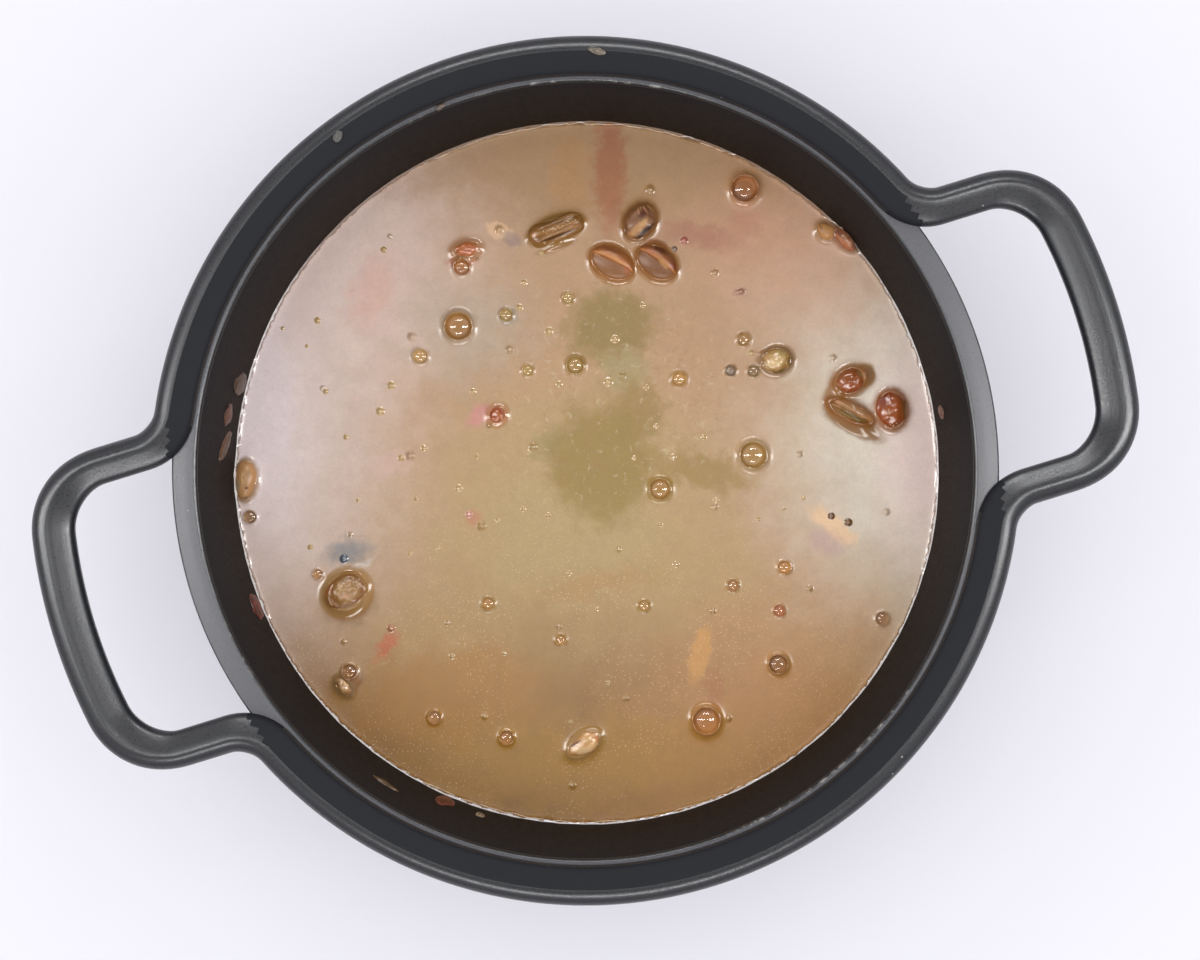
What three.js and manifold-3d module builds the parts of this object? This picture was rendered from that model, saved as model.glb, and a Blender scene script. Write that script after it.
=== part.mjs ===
// A cast casserole, about half full of cloudy rice broth with beans, mushroom and tomato floating in it.
// The pot is one casting. Its thick rim bead runs round the front and back of the mouth, and at each side
// it leaves the rim, loops out as a handle and comes back. Where it leaves, the flat flange below it shows.
// The broth fills the pot to its level and is cut clear round each floating piece.
// Units are millimetres and degrees. +Z is up, +X runs from handle to handle, and the origin is the middle
// of the pot's base, on the table.
import * as THREE from "three";
import { mergeVertices } from "three/addons/utils/BufferGeometryUtils.js";
import Module from "manifold-3d";

const wasm = await Module();
wasm.setup();
const { Manifold, Mesh } = wasm;
const rad = THREE.MathUtils.degToRad;

// Pot.
const RIM_HEIGHT = 122; // top of the flange
const MOUTH_RADIUS = 139.6; // inner wall at the flange
const WALL_TAPER = rad(3);
const WALL_THICKNESS = 4.2;
const FLOOR_THICKNESS = 6;
const INNER_CORNER = 24;
const OUTER_CORNER = 27;
const MOUTH_ROUND = 1.6; // rounded edge between inner wall and flange
const FLANGE_RADIUS = 148.6;
const FLANGE_DEPTH = 5;
const FLANGE_FILLET = 4;
const FLANGE_CHAMFER = 0.6;
const LATHE_STEPS = 64;

// Rim bead and handles: one bar on one closed line.
const BEAD_RADIUS = 148.8; // line of the bead round the mouth
const GRIP_RADIUS = 192.3; // line of the handles' outer run, round the same centre
const ARM_OFFSET = 52.8; // each handle's two arms run this far from the X axis
const FLARE_RADIUS = 17.5; // bead line where it turns out into an arm
const CORNER_RADIUS = 23.5; // bead line where an arm turns into the grip
const BEAD_WIDTH = 14.5;
const ARM_NARROWING = 0.925; // the arms' share of that width
const GRIP_WIDENING = 1.055; // and the grip's
const BEAD_RISE = 6.4; // crest above the flange
const BEAD_DROP = 4.8; // underside below the flange's top

// Broth.
const BROTH_LEVEL = 67;
const GAP = 0.3; // clearance between pieces that touch
const LARGE_BUBBLE_SIDES = 9;
const SMALL_BUBBLE_SIDES = 6;
const BUBBLE_SINK = 0.3; // share of a bubble's radius that lies below the surface

// Bubbles that stand out: distance from the middle, bearing from +X, and diameter.
const BUBBLES = [
  [126.5, 43.7, 10.9],
  [75.7, 114.2, 10.9],
  [65.1, 348.6, 10.9],
  [107.2, 278.5, 11],
  [105.5, 297.7, 7.8],
  [29.3, 329.7, 8.4],
  [41.9, 79, 7],
  [93.6, 104.2, 5.8],
  [75.9, 14, 4.8],
  [79, 128, 6],
  [79.9, 23, 5.2],
  [51, 28, 5.8],
  [68.5, 18, 4.4],
  [68.8, 100, 5.2],
  [45.8, 103, 4.6],
  [68.1, 79, 4.6],
  [63.9, 216, 5],
  [107.9, 236, 5.8],
  [112.3, 221, 5.2],
  [85.3, 317, 5.4],
  [71.9, 305, 4.6],
  [92.3, 307, 4.6],
  [56.6, 276, 4.6],
  [66.1, 244, 4.4],
  [132.3, 170.4, 5.2],
  [118.4, 200.4, 6],
  [112, 183.6, 4],
  [128.2, 316.4, 5.4],
];
// Small bubbles and crumbs between them, on a sunflower spiral with a few left out.
const SMALL_BUBBLES = 28;
const SMALL_REACH = 122;
const SMALL_DIAMETERS = [2.8, 3.4, 2.4, 3, 4];
const GOLDEN_ANGLE = rad(137.508);
const CLEARANCE = 1.2; // bubbles keep this far from pieces and from each other
const FINE_FROM = 16.5; // pieces longer than this have a finer surface

// Floating pieces. size is length, width and height; at is distance from the middle and bearing from +X;
// turn is the length's direction from +X; lift is the piece's middle above the broth's surface.
const PIECES = [
  { name: "bean_upper", kind: "split_bean", size: [15.6, 12.1, 8], at: [99.5, 60.8], turn: 42.8, lift: 0.2 },
  { name: "bean_left", kind: "split_bean", size: [18.3, 12.8, 8.5], at: [81.9, 65.9], turn: -44.2, lift: 0.2 },
  { name: "bean_right", kind: "split_bean", size: [17.5, 12.8, 8.5], at: [85.9, 54.4], turn: -52.2, lift: 0.2 },
  { name: "bean_at_wall", kind: "whole_bean", size: [16, 8.8, 8], at: [131.3, 164.2], turn: 70, lift: 0.6 },
  { name: "seed_at_wall", kind: "whole_bean", size: [8.6, 6.8, 6], at: [129.8, 28.6], turn: -50, lift: 0.4 },
  { name: "mushroom_stem", kind: "stem", size: [22.4, 9.8, 9.4], at: [95.3, 80], turn: 2.8, lift: -0.6 },
  { name: "mushroom_cap", kind: "cap", size: [19.5, 17, 9], at: [104.7, 189.3], turn: 12.8, lift: -1.2 },
  { name: "mushroom_chunk", kind: "chunk", size: [12.6, 10.4, 8], at: [85.5, 13.3], turn: -7.2, lift: 0 },
  { name: "mushroom_slice", kind: "slice", size: [20, 7.6, 8], at: [105.2, 355.7], turn: -42.2, lift: 0.2 },
  { name: "tomato_lobe", kind: "chunk", size: [13.6, 10.8, 8.5], at: [108.3, 1.9], turn: 12, lift: 0 },
  { name: "tomato_round", kind: "chunk", size: [16, 12.6, 9], at: [120.9, 354.3], turn: 76, lift: 0 },
  { name: "tomato_shred", kind: "chunk", size: [12, 7, 6], at: [98.6, 101.2], turn: -7.2, lift: -0.4 },
  { name: "tomato_at_wall", kind: "chunk", size: [10.9, 5.4, 9], at: [133.4, 24.7], turn: -64, lift: 2.2 },
  { name: "tomato_crumb", kind: "chunk", size: [7.4, 6.4, 5], at: [41.3, 130.4], turn: 20, lift: 0.1 },
  { name: "chicken_shred", kind: "chunk", size: [15.6, 8.8, 7], at: [105.9, 252.2], turn: 17.8, lift: -0.4 },
  { name: "chicken_flake", kind: "chunk", size: [9, 6, 5.5], at: [126, 204.2], turn: -67.2, lift: -0.2 },
];

// Scraps of food dried on to the pot's wall: bearing, height of the middle, length, width and the length's
// lean from upright.
const WALL_SCRAPS = [
  [148.6, 77.5, 17, 9.6, 0],
  [153.8, 85.5, 10.5, 9, -8],
  [158.9, 85, 20, 7, -39],
  [185, 75.5, 14, 11, 0],
  [229.5, 77.5, 18, 8.5, 10],
  [220.1, 98, 3.4, 12, 0],
  [352.2, 81.4, 6.5, 5.6, 0],
];
const SCRAP_THICKNESS = 2.2;

const polar = (radius, bearing) => new THREE.Vector2(
  radius * Math.cos(rad(bearing)),
  radius * Math.sin(rad(bearing)),
);

// A closed geometry as a solid that can be joined and cut.
function toSolid(geometry) {
  const bare = geometry.index ? geometry.toNonIndexed() : geometry.clone();
  for (const name of Object.keys(bare.attributes)) if (name !== "position") bare.deleteAttribute(name);
  const merged = mergeVertices(bare, 1e-4);
  const corners = merged.index.array;
  const faces = [];
  for (let i = 0; i < corners.length; i += 3) {
    const [a, b, c] = corners.slice(i, i + 3);
    if (a !== b && b !== c && c !== a) faces.push(a, b, c);
  }
  return new Manifold(new Mesh({
    numProp: 3,
    vertProperties: new Float32Array(merged.attributes.position.array),
    triVerts: new Uint32Array(faces),
  }));
}

function toGeometry(solid) {
  const mesh = solid.getMesh();
  const positions = new Float32Array(mesh.numVert * 3);
  for (let i = 0; i < mesh.numVert; i++) {
    positions.set(mesh.vertProperties.subarray(i * mesh.numProp, i * mesh.numProp + 3), i * 3);
  }
  const geometry = new THREE.BufferGeometry();
  geometry.setAttribute("position", new THREE.BufferAttribute(positions, 3));
  geometry.setIndex(new THREE.BufferAttribute(new Uint32Array(mesh.triVerts), 1));
  const faceted = geometry.toNonIndexed();
  faceted.computeVertexNormals();
  return faceted;
}

const innerRadiusAt = (height) => MOUTH_RADIUS - (RIM_HEIGHT - height) * Math.tan(WALL_TAPER);

// Middle of the arc of that radius that rounds a tapered wall into a level floor.
function cornerCentre(wallOffset, floorHeight, radius) {
  const height = floorHeight + radius;
  return new THREE.Vector2(innerRadiusAt(height) + wallOffset - radius / Math.cos(WALL_TAPER), height);
}

function turned(outline, pointsPerArc) {
  const geometry = new THREE.LatheGeometry(outline.getPoints(pointsPerArc), LATHE_STEPS);
  geometry.rotateX(Math.PI / 2);
  return toSolid(geometry);
}

// Base, wall, flange and mouth, turned as one outline.
function potShell() {
  const outer = cornerCentre(WALL_THICKNESS, 0, OUTER_CORNER);
  const inner = cornerCentre(0, FLOOR_THICKNESS, INNER_CORNER);
  const flangeUnder = RIM_HEIGHT - FLANGE_DEPTH;
  const outerWallTop = innerRadiusAt(flangeUnder - FLANGE_FILLET) + WALL_THICKNESS;
  const outline = new THREE.Path();
  outline.moveTo(0, 0);
  outline.lineTo(outer.x, 0);
  outline.absarc(outer.x, outer.y, OUTER_CORNER, -Math.PI / 2, -WALL_TAPER, false);
  outline.lineTo(outerWallTop, flangeUnder - FLANGE_FILLET);
  outline.quadraticCurveTo(outerWallTop, flangeUnder, FLANGE_RADIUS, flangeUnder);
  outline.lineTo(FLANGE_RADIUS, RIM_HEIGHT - FLANGE_CHAMFER);
  outline.lineTo(FLANGE_RADIUS - FLANGE_CHAMFER, RIM_HEIGHT);
  outline.lineTo(MOUTH_RADIUS + MOUTH_ROUND, RIM_HEIGHT);
  outline.absarc(MOUTH_RADIUS + MOUTH_ROUND, RIM_HEIGHT - MOUTH_ROUND, MOUTH_ROUND, Math.PI / 2, Math.PI, false);
  outline.lineTo(inner.x + INNER_CORNER * Math.cos(WALL_TAPER), inner.y - INNER_CORNER * Math.sin(WALL_TAPER));
  outline.absarc(inner.x, inner.y, INNER_CORNER, -WALL_TAPER, -Math.PI / 2, true);
  outline.lineTo(0, FLOOR_THICKNESS);
  return turned(outline, 3);
}

const arcPoints = (x, y, radius, from, to, clockwise, steps) =>
  new THREE.EllipseCurve(x, y, radius, radius, from, to, clockwise).getPoints(steps);

// One handle and the stretch of rim that follows it, for the handle on +X.
function handleAndRim() {
  const flareY = ARM_OFFSET + FLARE_RADIUS;
  const flareX = Math.sqrt((BEAD_RADIUS + FLARE_RADIUS) ** 2 - flareY ** 2);
  const flareBearing = Math.atan2(flareY, flareX);
  const cornerY = ARM_OFFSET - CORNER_RADIUS;
  const cornerX = Math.sqrt((GRIP_RADIUS - CORNER_RADIUS) ** 2 - cornerY ** 2);
  const cornerBearing = Math.atan2(cornerY, cornerX);
  const quarter = Math.PI / 2;
  return [
    arcPoints(flareX, -flareY, FLARE_RADIUS, Math.PI - flareBearing, quarter, true, 5),
    arcPoints(cornerX, -cornerY, CORNER_RADIUS, -quarter, -cornerBearing, false, 5),
    arcPoints(0, 0, GRIP_RADIUS, -cornerBearing, cornerBearing, false, 6),
    arcPoints(cornerX, cornerY, CORNER_RADIUS, cornerBearing, quarter, false, 5),
    arcPoints(flareX, flareY, FLARE_RADIUS, -quarter, flareBearing - Math.PI, true, 5),
    arcPoints(0, 0, BEAD_RADIUS, flareBearing, Math.PI - flareBearing, false, 28),
  ].flat();
}

// The bar's closed line: the same run twice, half a turn apart, without doubled points.
function beadLine() {
  const half = handleAndRim();
  const whole = [...half, ...half.map((p) => p.clone().negate())];
  return whole.filter((p, i) => p.distanceTo(whole[(i + 1) % whole.length]) > 0.01);
}

// The bar's section, outwards and up: a slope that faces the pot's middle, a crest on its outer third
// and a round outer side.
function beadSection() {
  const half = BEAD_WIDTH / 2;
  const outline = new THREE.Path();
  outline.moveTo(-half, 0.4);
  outline.quadraticCurveTo(-half, 3, -0.72 * half, 3.7);
  outline.lineTo(0.1 * half, 0.93 * BEAD_RISE);
  outline.quadraticCurveTo(0.5 * half, 1.06 * BEAD_RISE, 0.78 * half, 0.64 * BEAD_RISE);
  outline.quadraticCurveTo(half, 0.36 * BEAD_RISE, half, -0.4);
  outline.quadraticCurveTo(half, -BEAD_DROP, 0.4 * half, -BEAD_DROP);
  outline.lineTo(-0.5 * half, -BEAD_DROP);
  outline.quadraticCurveTo(-half, -BEAD_DROP, -half, 0.4);
  return outline.getPoints(2).slice(0, -1);
}

// The bar's width at a distance from the pot's middle, as a share of its width round the mouth.
function widthShare(distance) {
  const alongArm = THREE.MathUtils.smoothstep(distance, BEAD_RADIUS + 2, BEAD_RADIUS + 12);
  const intoGrip = THREE.MathUtils.smoothstep(distance, GRIP_RADIUS - 17, GRIP_RADIUS);
  return THREE.MathUtils.lerp(THREE.MathUtils.lerp(1, ARM_NARROWING, alongArm), GRIP_WIDENING, intoGrip);
}

// The section carried round the closed line, each ring square to the line.
function beadAndHandles() {
  const line = beadLine();
  const section = beadSection();
  const positions = [];
  line.forEach((point, i) => {
    const before = line.at(i - 1);
    const after = line[(i + 1) % line.length];
    const outward = new THREE.Vector2(after.y - before.y, before.x - after.x).normalize();
    const share = widthShare(point.length());
    for (const corner of section) {
      const place = point.clone().addScaledVector(outward, corner.x * share);
      positions.push(place.x, place.y, RIM_HEIGHT + corner.y);
    }
  });
  const faces = [];
  for (let i = 0; i < line.length; i++) {
    for (let j = 0; j < section.length; j++) {
      const here = i * section.length;
      const next = ((i + 1) % line.length) * section.length;
      const k = (j + 1) % section.length;
      faces.push(here + j, here + k, next + j, next + j, here + k, next + k);
    }
  }
  const geometry = new THREE.BufferGeometry();
  geometry.setAttribute("position", new THREE.BufferAttribute(new Float32Array(positions), 3));
  geometry.setIndex(faces);
  return toSolid(geometry);
}

// A scrap of dried food: a flat flake, half of its thickness sunk in the wall.
function wallScrap([bearing, height, length, width, lean]) {
  const geometry = new THREE.IcosahedronGeometry(0.5, 1);
  geometry.scale(SCRAP_THICKNESS, width, length);
  geometry.rotateX(rad(lean));
  geometry.rotateY(WALL_TAPER);
  geometry.translate(innerRadiusAt(height), 0, height);
  geometry.rotateZ(rad(bearing));
  return toSolid(geometry);
}

function pot() {
  return Manifold.union([potShell(), beadAndHandles(), ...WALL_SCRAPS.map(wallScrap)]);
}

// Unevenness of a boiled piece: a few slow waves, different for each seed.
function lumpiness(point, seed) {
  return Math.sin(2.3 * point.x + seed) * Math.sin(2.9 * point.y + 1.7 * seed) * Math.sin(2.1 * point.z + 0.6 * seed)
    + 0.4 * Math.sin(5.1 * point.x + 3.3 * point.y + seed);
}

// A ball with waves of the given depth, stretched to a size.
function pebble(size, depth, seed, detail) {
  const geometry = new THREE.IcosahedronGeometry(0.5, detail);
  const position = geometry.attributes.position;
  const point = new THREE.Vector3();
  for (let i = 0; i < position.count; i++) {
    point.fromBufferAttribute(position, i);
    point.multiplyScalar(1 + depth * lumpiness(point.clone().multiplyScalar(2), seed));
    position.setXYZ(i, ...point);
  }
  return toSolid(fitted(geometry, size));
}

// The geometry stretched to a size, with its middle on the origin.
function fitted(geometry, size) {
  geometry.computeBoundingBox();
  const span = geometry.boundingBox.getSize(new THREE.Vector3());
  const middle = geometry.boundingBox.getCenter(new THREE.Vector3());
  geometry.translate(-middle.x, -middle.y, -middle.z);
  return geometry.scale(size[0] / span.x, size[1] / span.y, size[2] / span.z);
}

// The pieces' own forms, each lying along X and centred on the origin. detail is how finely it is faceted.
const forms = {
  whole_bean: (size, seed, detail) => pebble(size, 0.04, seed, detail),
  chunk: (size, seed, detail) => pebble(size, 0.13, seed, detail),
  // Half a bean, its flat side up and hollowed, so that a rim stands along one side.
  split_bean([length, width, height], seed, detail) {
    const whole = pebble([length, width, height], 0.03, seed, detail);
    const hollow = pebble([0.84 * length, 0.86 * width, 0.5 * height], 0.02, seed, 1);
    return whole.subtract(hollow.translate(0, -0.1 * width, 0.4 * height));
  },
  // A short rod with round ends and a slight waist.
  stem([length, width, height]) {
    const geometry = new THREE.CapsuleGeometry(0.5, 1.3, 3, 12);
    geometry.rotateZ(-Math.PI / 2);
    const position = geometry.attributes.position;
    const point = new THREE.Vector3();
    for (let i = 0; i < position.count; i++) {
      point.fromBufferAttribute(position, i);
      const waist = 1 - 0.12 * Math.cos(2.4 * point.x);
      position.setXYZ(i, point.x, point.y * waist, point.z * waist);
    }
    return toSolid(fitted(geometry, [length, width, height]));
  },
  // A cap floating gills up, with the torn foot of its stem in the middle.
  cap([length, width, height], seed, detail) {
    const dish = pebble([length, width, height], 0.03, seed, detail);
    const hollow = pebble([0.82 * length, 0.82 * width, 0.42 * height], 0.02, seed, 1);
    const foot = pebble([0.54 * length, 0.6 * width, 0.5 * height], 0.14, seed + 2, 1);
    return dish.subtract(hollow.translate(0, 0, 0.46 * height)).add(foot.translate(0, 0, 0.3 * height));
  },
  // A slice folded along its length: two long lobes that lean on each other.
  slice([length, width, height], seed, detail) {
    const upper = pebble([length, 0.66 * width, height], 0.1, seed, detail);
    const lower = pebble([0.8 * length, 0.6 * width, 0.7 * height], 0.1, seed + 1, 1);
    return upper.translate(0, 0.17 * width, 0).add(lower.translate(0.08 * length, -0.2 * width, -0.08 * height));
  },
};

function placed(piece, seed, grown) {
  const size = piece.size.map((side) => side + 2 * grown);
  const form = forms[piece.kind](size, seed, piece.size[0] > FINE_FROM ? 2 : 1);
  const place = polar(...piece.at);
  return form.rotate([0, 0, piece.turn]).translate([place.x, place.y, BROTH_LEVEL + piece.lift]);
}

// What a piece is cut out of the broth with: its hull, a little larger, so that nothing of the broth is
// left inside a hollow or a fold.
const clearanceRound = (piece, seed) => placed(piece, seed, GAP).hull();

function brothBody() {
  const corner = cornerCentre(-GAP, FLOOR_THICKNESS + GAP, INNER_CORNER);
  const outline = new THREE.Path();
  outline.moveTo(0, FLOOR_THICKNESS + GAP);
  outline.lineTo(corner.x, FLOOR_THICKNESS + GAP);
  outline.absarc(corner.x, corner.y, INNER_CORNER, -Math.PI / 2, -WALL_TAPER, false);
  outline.lineTo(innerRadiusAt(BROTH_LEVEL) - GAP, BROTH_LEVEL);
  outline.lineTo(0, BROTH_LEVEL);
  return turned(outline, 3);
}

const clearOf = (place, reach, others) =>
  others.every((other) => place.distanceTo(other.place) > reach + other.reach + CLEARANCE);

// Every bubble's place and diameter: the ones that stand out, then the small ones that find room.
function bubblePlaces() {
  const taken = PIECES.map((piece) => ({ place: polar(...piece.at), reach: piece.size[0] / 2 }));
  const found = [];
  for (const [radius, bearing, diameter] of BUBBLES) {
    found.push({ place: polar(radius, bearing), reach: diameter / 2 });
  }
  for (let i = 1; i <= SMALL_BUBBLES; i++) {
    const radius = SMALL_REACH * Math.sqrt(i / SMALL_BUBBLES);
    const bearing = THREE.MathUtils.radToDeg(i * GOLDEN_ANGLE);
    const place = polar(radius, bearing);
    const reach = SMALL_DIAMETERS[i % SMALL_DIAMETERS.length] / 2;
    if (clearOf(place, reach, [...taken, ...found])) found.push({ place, reach });
  }
  return found;
}

// A bubble is a dome on the surface, its underside sunk in the broth.
function bubble({ place, reach }) {
  const sides = reach > 2.4 ? LARGE_BUBBLE_SIDES : SMALL_BUBBLE_SIDES;
  const geometry = new THREE.SphereGeometry(reach, sides, Math.ceil(sides / 2));
  geometry.rotateX(Math.PI / 2);
  geometry.translate(place.x, place.y, BROTH_LEVEL - BUBBLE_SINK * reach);
  return toSolid(geometry);
}

function broth() {
  const still = brothBody().add(Manifold.union(bubblePlaces().map(bubble)));
  return still.subtract(Manifold.union(PIECES.map(clearanceRound)));
}

const look = (color, roughness, metalness = 0) => new THREE.MeshStandardMaterial({ color, roughness, metalness });
const LOOKS = {
  pot: look(0x35363a, 0.5, 0.2),
  broth: look(0xae9468, 0.2),
  split_bean: look(0x96683c, 0.35),
  whole_bean: look(0xb5884f, 0.35),
  stem: look(0x8a6235, 0.45),
  cap: look(0x7d5a32, 0.4),
  slice: look(0x99703f, 0.4),
  mushroom: look(0xc2a468, 0.45),
  tomato: look(0x96472a, 0.35),
  chicken: look(0xd0a074, 0.5),
};
const lookOf = (piece) => LOOKS[piece.name.split("_")[0]] ?? LOOKS[piece.kind];

const group = new THREE.Group();
function addNode(name, solid, material) {
  const mesh = new THREE.Mesh(toGeometry(solid), material);
  mesh.name = name;
  group.add(mesh);
}
addNode("pot", pot(), LOOKS.pot);
addNode("broth", broth(), LOOKS.broth);
PIECES.forEach((piece, seed) => addNode(piece.name, placed(piece, seed, 0), lookOf(piece)));

export default group;
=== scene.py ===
"""Dresses a pot of brothy rice: a cast casserole, the broth in it and the pieces that float there."""
import math

import bpy
import numpy as np
from bpy.props import FloatProperty, FloatVectorProperty, PointerProperty
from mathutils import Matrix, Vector, noise


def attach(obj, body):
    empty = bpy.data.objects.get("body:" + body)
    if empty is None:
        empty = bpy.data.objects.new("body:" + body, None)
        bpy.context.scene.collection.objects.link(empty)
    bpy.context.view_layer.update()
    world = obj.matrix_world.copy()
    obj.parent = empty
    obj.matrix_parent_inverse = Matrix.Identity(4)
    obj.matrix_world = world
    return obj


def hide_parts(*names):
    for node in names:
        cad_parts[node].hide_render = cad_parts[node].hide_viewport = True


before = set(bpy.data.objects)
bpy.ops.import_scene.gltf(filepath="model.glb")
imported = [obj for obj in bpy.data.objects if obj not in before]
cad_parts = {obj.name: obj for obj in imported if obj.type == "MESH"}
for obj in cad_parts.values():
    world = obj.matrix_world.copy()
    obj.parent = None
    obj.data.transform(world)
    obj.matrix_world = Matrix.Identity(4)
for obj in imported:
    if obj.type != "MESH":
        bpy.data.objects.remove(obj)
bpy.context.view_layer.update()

bl_info = {
    "name": "Pot of brothy rice",
    "version": (1, 0, 0),
    "blender": (4, 5, 0),
    "location": "View3D > Sidebar > Pot",
    "description": "Builds a casserole of brothy rice round its packed solids",
    "category": "Object",
}

MM = 0.001

# The pot's own sizes, in millimetres, as its solids have them.
WALL_TAPER = math.radians(3)
FLOOR_THICKNESS = 6
INNER_CORNER = 24
OUTER_CORNER = 27
MOUTH_ROUND = 1.6
FLANGE_RADIUS = 148.6
FLANGE_DEPTH = 5
FLANGE_FILLET = 4
FLANGE_CHAMFER = 0.6
BEAD_RADIUS = 148.8
GRIP_RADIUS = 192.3
ARM_OFFSET = 52.8
FLARE_RADIUS = 17.5
CORNER_RADIUS = 23.5
ARM_NARROWING = 0.925
GRIP_WIDENING = 1.055
BEAD_DROP = 4.8

# How finely the pot is built: steps round it, added rings on the flange, the floor and the inner wall, in
# millimetres, and the angle from which an edge stays sharp.
TURN_STEPS = 256
FLANGE_STEP = 144.6
FLOOR_RING = 60
WALL_RINGS = (110, 98, 86, 76, 70, 64, 50)
SMOOTH_ANGLE = math.radians(32)

# Where the dried film lies, in millimetres: up the inner wall, and out along the bead's inner slope.
FILM_FOOT = 5.5
FILM_MARGIN = 0.2
FILM_TOP_GAP = 0.6
SLOPE_START = 2.6
SLOPE_END = 0.6
SLOPE_LIFT = 0.5

# The photograph's own axes are turned from the part's by this much about the upright.
VIEW_TURN = math.radians(17.2)

# Bubbles that stand out: distance from the middle, bearing, diameter, and the broth's colour inside.
GOLD = "#af8852"
BUBBLES = [
    (126.5, 43.7, 10.9, "#a86f48"),
    (75.7, 114.2, 11.2, "#a0753e"),
    (65.1, 348.6, 10.9, "#a68653"),
    (107.2, 278.5, 11, "#b9824e"),
    (105.5, 297.7, 7.8, "#94673d"),
    (29.3, 329.7, 8.4, "#a6824b"),
    (41.9, 79, 7, "#a0864d"),
    (93.6, 104.2, 6.6, "#a46e44"),
    (75.9, 14, 4.8, "#836e52"),
    (79, 128, 6, "#bd9d6c"),
    (79.9, 23, 5.2, "#a48157"),
    (51, 28, 5.8, "#b89157"),
    (68.5, 18, 4.4, "#6c5c52"),
    (68.8, 100, 5.2, "#a8915c"),
    (45.8, 103, 4.6, "#af9863"),
    (68.1, 79, 4.6, "#b29d6c"),
    (63.9, 216, 5, GOLD),
    (107.9, 236, 5.8, "#ad7e4b"),
    (112.3, 221, 5.2, "#af8559"),
    (85.3, 317, 5.4, "#be8c52"),
    (71.9, 305, 4.6, "#a6774e"),
    (92.3, 307, 4.6, "#af6a47"),
    (56.6, 276, 4.6, "#af8c57"),
    (66.1, 244, 4.4, GOLD),
    (132.3, 170.4, 5.2, "#967357"),
    (120.6, 202.9, 6, "#966c49"),
    (112, 183.6, 4, "#af855c"),
    (128.2, 316.4, 5.4, "#a47e63"),
]

# Little bubbles: distance from the middle, bearing, diameter and, for some, a colour.
LITTLE_BUBBLES = [
    (120.5, 133.4, 2.6), (131.2, 137.5, 1.6), (117.5, 115.2, 2.4), (106.6, 145.6, 2.0), (83.4, 138.9, 3.0),
    (83.9, 146.4, 3.2), (94.7, 154.5, 2.2), (64.0, 154.4, 2.4), (72.5, 158.5, 2.6), (50.1, 170.0, 2.8),
    (48.7, 182.5, 2.6, "#c8907c"), (64.9, 190.4, 2.2), (54.3, 127.4, 2.2), (77.8, 91.1, 2.4),
    (69.4, 95.1, 2.6),
    (56.8, 87.8, 3.2), (52.9, 60.8, 3.2), (35.9, 90.3, 2.4), (36.0, 59.5, 3.4), (40.3, 37.9, 2.4),
    (68.6, 54.2, 2.0), (32.4, 16.3, 2.0), (47.6, 359.4, 2.2), (34.1, 352.6, 2.6), (19.2, 359.2, 1.8),
    (51.5, 330.5, 2.4), (49.9, 296.9, 2.6), (97.4, 201.4, 3.0, "#b47c58"), (88.8, 216.6, 2.2),
    (111.6, 178.0, 2.2),
    (79.0, 18.6, 3.0), (100.4, 182.5, 3.4, "#5a626c"), (43.1, 154.6, 2.0), (24.1, 144.1, 1.6),
    (67.3, 171.8, 1.8),
    (89.7, 169.8, 1.6), (28.7, 193.0, 2.0), (22.5, 210.9, 2.2), (39.6, 191.0, 1.6), (35.0, 307.4, 1.8),
    (69.2, 327.4, 1.8), (84.8, 335.9, 1.6), (78.1, 332.2, 1.4), (75.7, 187.5, 2.0), (40.0, 242.9, 2.0),
    (53.2, 257.5, 1.6), (82.2, 258.6, 1.6), (77.5, 228.3, 1.6), (119.8, 138.6, 1.4),
    (96.6, 332.6, 2.8, "#7a5634"),
    (103.6, 331.9, 3.0, "#7a5634"), (97.5, 249.2, 2.0), (91.6, 86.2, 2.0), (87.4, 84.5, 2.6),
    (93.2, 51.4, 3.2, "#8c7060"), (97.9, 50.0, 3.0, "#ae6c58"),
]
SMALL_BUBBLES = 28
SMALL_REACH = 122
SMALL_DIAMETERS = (2.8, 3.4, 2.4, 3, 4)
GOLDEN_ANGLE = math.radians(137.508)
CLEARANCE = 1.2

# The broth: the cuts of its surface's grid, the gaps that the surface and the body below it keep to the pot,
# and the height of the body's first ring under the surface, in millimetres.
SURFACE_CUTS = 106
WALL_GAP = 0.06
BODY_GAP = 0.3
BODY_TOP = 60

# How the broth climbs: how soon the rise at the wall and the film on a piece fade, in millimetres, the film's
# share of a piece's height, and a bubble's ring in shares of the bubble's radius.
MENISCUS_REACH = 0.9
FILM_REACH = 1.5
FILM_CLIMB = 0.42
RING_RISE = 0.3
RING_FADE = 0.24

# The painted shade on a bubble's rim, as a share of the colour of its middle, the cuts of a piece's ball, and
# how far above the broth a ray down starts.
RIM_SHADE = 0.72
PIECE_CUTS = 6
RAY_START = 20

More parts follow.
